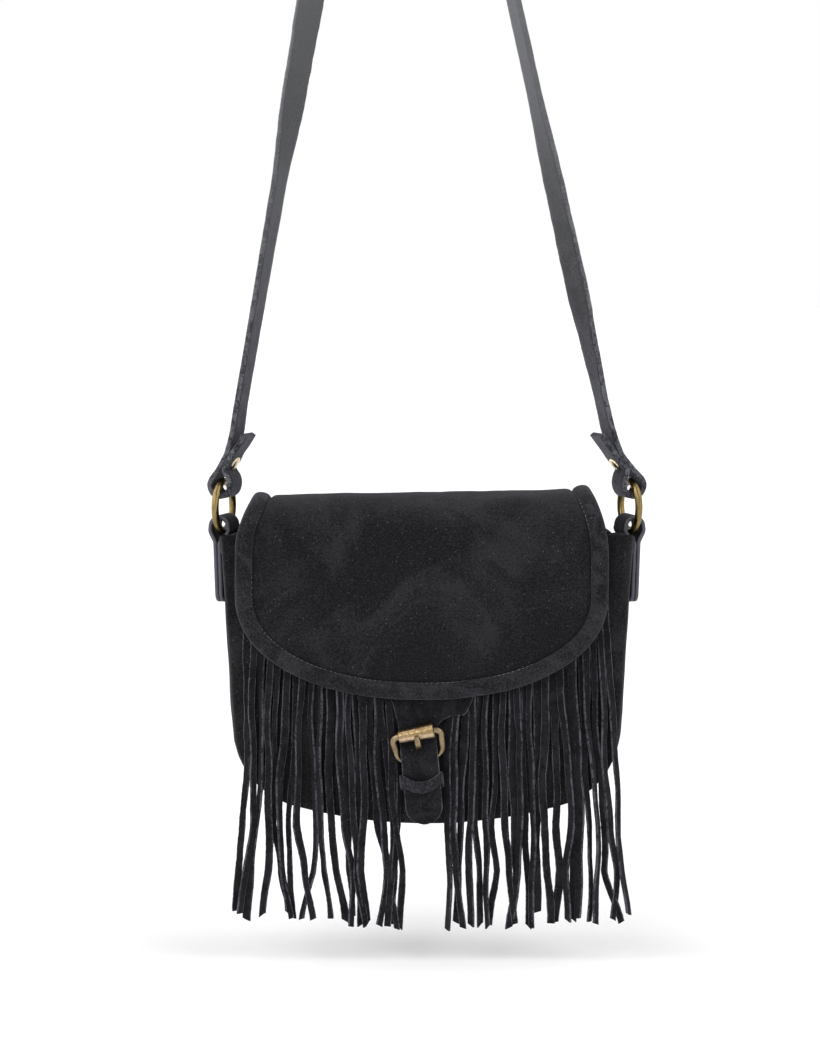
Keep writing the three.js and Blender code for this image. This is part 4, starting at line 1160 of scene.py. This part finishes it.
def twist_at(table, h):
    known = [(40, degrees(fold_turn))] + table
    if h <= 40:
        return fold_turn
    for (low, low_twist), (high, high_twist) in zip(known, known[1:]):
        if h < high:
            return radians(lerp(low_twist, high_twist, smooth_step(h, low, high)))
    return 0.0


def strap_end(extra_lean):
    diagonal = fold_half * sqrt(0.5)
    lap = layer_step * extra_lean
    rivet_low, rivet_high = rivet_height - 4.4, rivet_height + 4.4
    outline = [
        (13.8, rivet_height + 14.4), (9.8, rivet_height + 8.4),
        (tail_at(rivet_high) + lap, rivet_high), (tail_at(rivet_height) + lap, rivet_height),
        (tail_at(rivet_low) + lap, rivet_low), (strap_eye_shift + fold_half - 0.6, fold_middle + 4.4),
        (strap_eye_shift + fold_half, fold_middle), (strap_eye_shift + diagonal, fold_middle - diagonal),
        (strap_eye_shift, fold_bottom), (strap_eye_shift - diagonal, fold_middle - diagonal),
        (strap_eye_shift - fold_half, fold_middle), (-4.4, wire_top - 0.6), (-2.6, join_height - 3),
        (run_at(join_height), join_height), (run_at(rivet_height), rivet_height),
        (run_at(rivet_high), rivet_high), (6.6, rivet_height + 15.7), (8.6, rivet_height + 28.5),
    ]
    return [(n + max(0, h - wire_top) * extra_lean, h) for n, h in outline]


def strap_side(side, extra_lean, table, near, far):
    """One run of the strap from its free tail to the crown, and which way it is turned on the way."""
    path = curve_through([beside(side, ring_x, -n, 0, h, fold_turn) for n, h in strap_end(extra_lean)], 150)
    top = on_bag(crown_shift + side * crown_radius, 0, ring_height + strap_drop)
    path += spaced([path[-1], top], 560)[1:]
    turns = []
    for spot in path:
        height = (spot.z - on_bag(0, 0, ring_height).z) / MM
        spot.x -= side * strap_bow(height, near, far) * MM
        turn = twist_at(table, height)
        turns.append(Vector((-side * sin(turn), cos(turn), 0)))
    return path, turns


left_bow = (1.3, 4.7)
right_bow = (3.2, 4.0)
left_path, left_turns = strap_side(-1, 0, left_twist, *left_bow)
right_path, right_turns = strap_side(1, right_lean, right_twist, *right_bow)
crown_middle = (crown_shift, ring_height + strap_drop)
crown = [on_bag(p.x, 0, p.y) for p in arc(crown_middle, crown_radius, pi, 0, 40)[1:-1]]
strap_path = left_path + crown + right_path[::-1]
strap_turns = left_turns + [Vector((0, 1, 0))] * len(crown) + right_turns[::-1]
# The strap's suede and cut edges are painted lighter than the bag's and paler still from the first height
# up to the second: painted light, for the light from above and the haze round the strap.
painted_light_start_height = on_bag(0, 0, 230).z
painted_light_full_height = on_bag(0, 0, 470).z
strap_suede = suede(
    "strap_suede_nap", "#141316", "#38373b", patch=20, contrast=0.7, sheen=0.4,
    painted_top_light=(painted_light_start_height, painted_light_full_height, "#5e5f60"),
)
strap_edge = suede(
    "strap_cut_edge", "#222226", "#66676d", patch=9, sheen=0.4, painted_top_light=(painted_light_start_height, painted_light_full_height, "#6a6b6d")
)
shoulder_strap = ribbon(
    "shoulder_strap_suede", strap_path, lambda k: strap_turns[k], lambda k: strap_width, strap_thickness,
    flat=6, fuzz=0.16, seed=31,
)
fitted(shoulder_strap, "strap", [strap_suede, strap_edge], ["shoulder_strap"])

# Rivets
# A pale brass rivet through both layers of each folded end, with a low domed cap on either face.

rivet_cap = 3.9
rivet_cap_height = 1.3
rivet_post = 1.5
rivet_grip = strap_thickness + seam_gap / 2 + 0.1
pale_brass = old_brass("rivet_pale_brass", "#e6d6bb", "#b39e78", patina=0.4, scale=3.0)

for (side, side_name), extra, bow in zip(both_sides, (0, right_lean), (left_bow, right_bow)):
    n = run_at(rivet_height) + layer_step * (1 + extra) / 2 + (rivet_height - wire_top) * extra
    slope = (strap_bow(rivet_height + 1, *bow) - strap_bow(rivet_height - 1, *bow)) / 2
    lean = atan(tan(run_lean) + extra + slope)
    middle = beside(side, ring_x, -n, 0, rivet_height, fold_turn)
    middle.x -= side * strap_bow(rivet_height, *bow) * MM
    turned = Matrix.Rotation(side * fold_turn, 4, "Z") @ Matrix.Rotation(side * (pi / 2 - lean), 4, "Y")
    caps = []
    for face in (-1, 1):
        choose()
        bpy.ops.mesh.primitive_uv_sphere_add(segments=48, ring_count=24, radius=rivet_cap * MM)
        cap = bpy.context.object
        for vertex in cap.data.vertices:
            height = vertex.co.z / (rivet_cap * MM)
            rise = max(0, height) * rivet_cap_height + (0.25 if height > 0.1 else 0)
            vertex.co.z = face * (rivet_grip + rise) * MM
        caps.append(cap)
    bpy.ops.mesh.primitive_cylinder_add(vertices=24, radius=rivet_post * MM, depth=2 * rivet_grip * MM)
    caps.append(bpy.context.object)
    rivet = merged(f"{side_name}_rivet_caps", caps)
    rivet.data.transform(Matrix.Translation(middle) @ turned)
    close_up(rivet, fill=False, near=0.01)
    fitted(rivet, "strap", [pale_brass], [f"{side_name}_rivet"])

# Studio
# A white floor a little below the fringe, a white surround, and wide soft lights above, in front and
# beside. The floor glows a little where it is seen, so that it ends in the same white as the surround.

floor_height = -75
floor_size = 40.0
surround_light = 0.3
floor_glow = 0.12
choose()
bpy.ops.mesh.primitive_plane_add(size=floor_size, location=on_bag(0, 0, floor_height))
floor = bpy.context.object
floor.name = "floor"


def seen_rays(tree):
    """One where a ray comes from the camera or from a shiny surface, none for soft light."""
    rays = add_node(tree, "LightPath")
    return combined(tree, "MAXIMUM", rays["Is Camera Ray"], rays["Is Glossy Ray"])


floor_paint = bpy.data.materials.new("white_paper")
tree = cleared_tree(floor_paint)
paper = add_node(tree, "BsdfDiffuse", {"Color": linear("#f4f4f5")})[0]
strength = stretched(tree, seen_rays(tree), 0, 1, 0, floor_glow)
glow = add_node(tree, "Emission", {"Color": linear("#ffffff"), "Strength": strength})[0]
both = add_node(tree, "AddShader", {0: paper, 1: glow})[0]
add_node(tree, "OutputMaterial", {"Surface": both})
floor.data.materials.append(floor_paint)

world = bpy.data.worlds.new("white_studio")
bpy.context.scene.world = world
tree = cleared_tree(world)
view = add_node(tree, "TexCoord")["Generated"]
upward = add_node(tree, "SeparateXYZ", {"Vector": view})["Z"]
ceiling = stretched(tree, upward, 0.13, 0.7, 1.0, 0.3)
strength = stretched(tree, seen_rays(tree), 0, 1, surround_light, ceiling)
sky = add_node(tree, "Background", {"Color": linear("#ffffff"), "Strength": strength})[0]
add_node(tree, "OutputWorld", {"Surface": sky})


def soft_light(name, direction, strength, spread):
    """A light that comes evenly from one side, as from a large soft box far away."""
    bpy.ops.object.light_add(type="SUN", location=on_bag(0, 0, 0) + Vector(direction))
    lamp = bpy.context.object
    lamp.name = name
    lamp.data.energy = strength
    lamp.data.angle = radians(spread)
    lamp.rotation_euler = Vector(direction).to_track_quat("Z", "Y").to_euler()


soft_light("top_left_light", (-0.75, -0.05, 1), 1.15, 50)
soft_light("top_right_light", (0.75, -0.05, 1), 1.3, 50)
soft_light("key_light", (-0.45, -0.75, 0.55), 0.9, 40)
soft_light("fill_light", (0.75, -0.6, 0.3), 0.6, 60)
soft_light("left_light", (-1, 0.25, 0.25), 1.2, 50)

camera_elevation = radians(6)
camera_distance = 1300
picture_middle = (-9.2, 165.2)
lens_length = 83.3
sensor = 36
camera_up = Vector((0, sin(camera_elevation), cos(camera_elevation)))
camera_ahead = Vector((0, cos(camera_elevation), -sin(camera_elevation)))
camera_spot = (
    Vector((picture_middle[0], -33, 0)) + camera_up * picture_middle[1] - camera_ahead * camera_distance
)
bpy.ops.object.camera_add(location=on_bag(*camera_spot), rotation=(pi / 2 - camera_elevation, 0, 0))
camera = bpy.context.object
camera.data.sensor_fit = "VERTICAL"
camera.data.sensor_height = sensor
camera.data.lens = lens_length
bpy.context.scene.camera = camera
bpy.context.scene.view_settings.view_transform = "Standard"

bpy.context.view_layer.update()
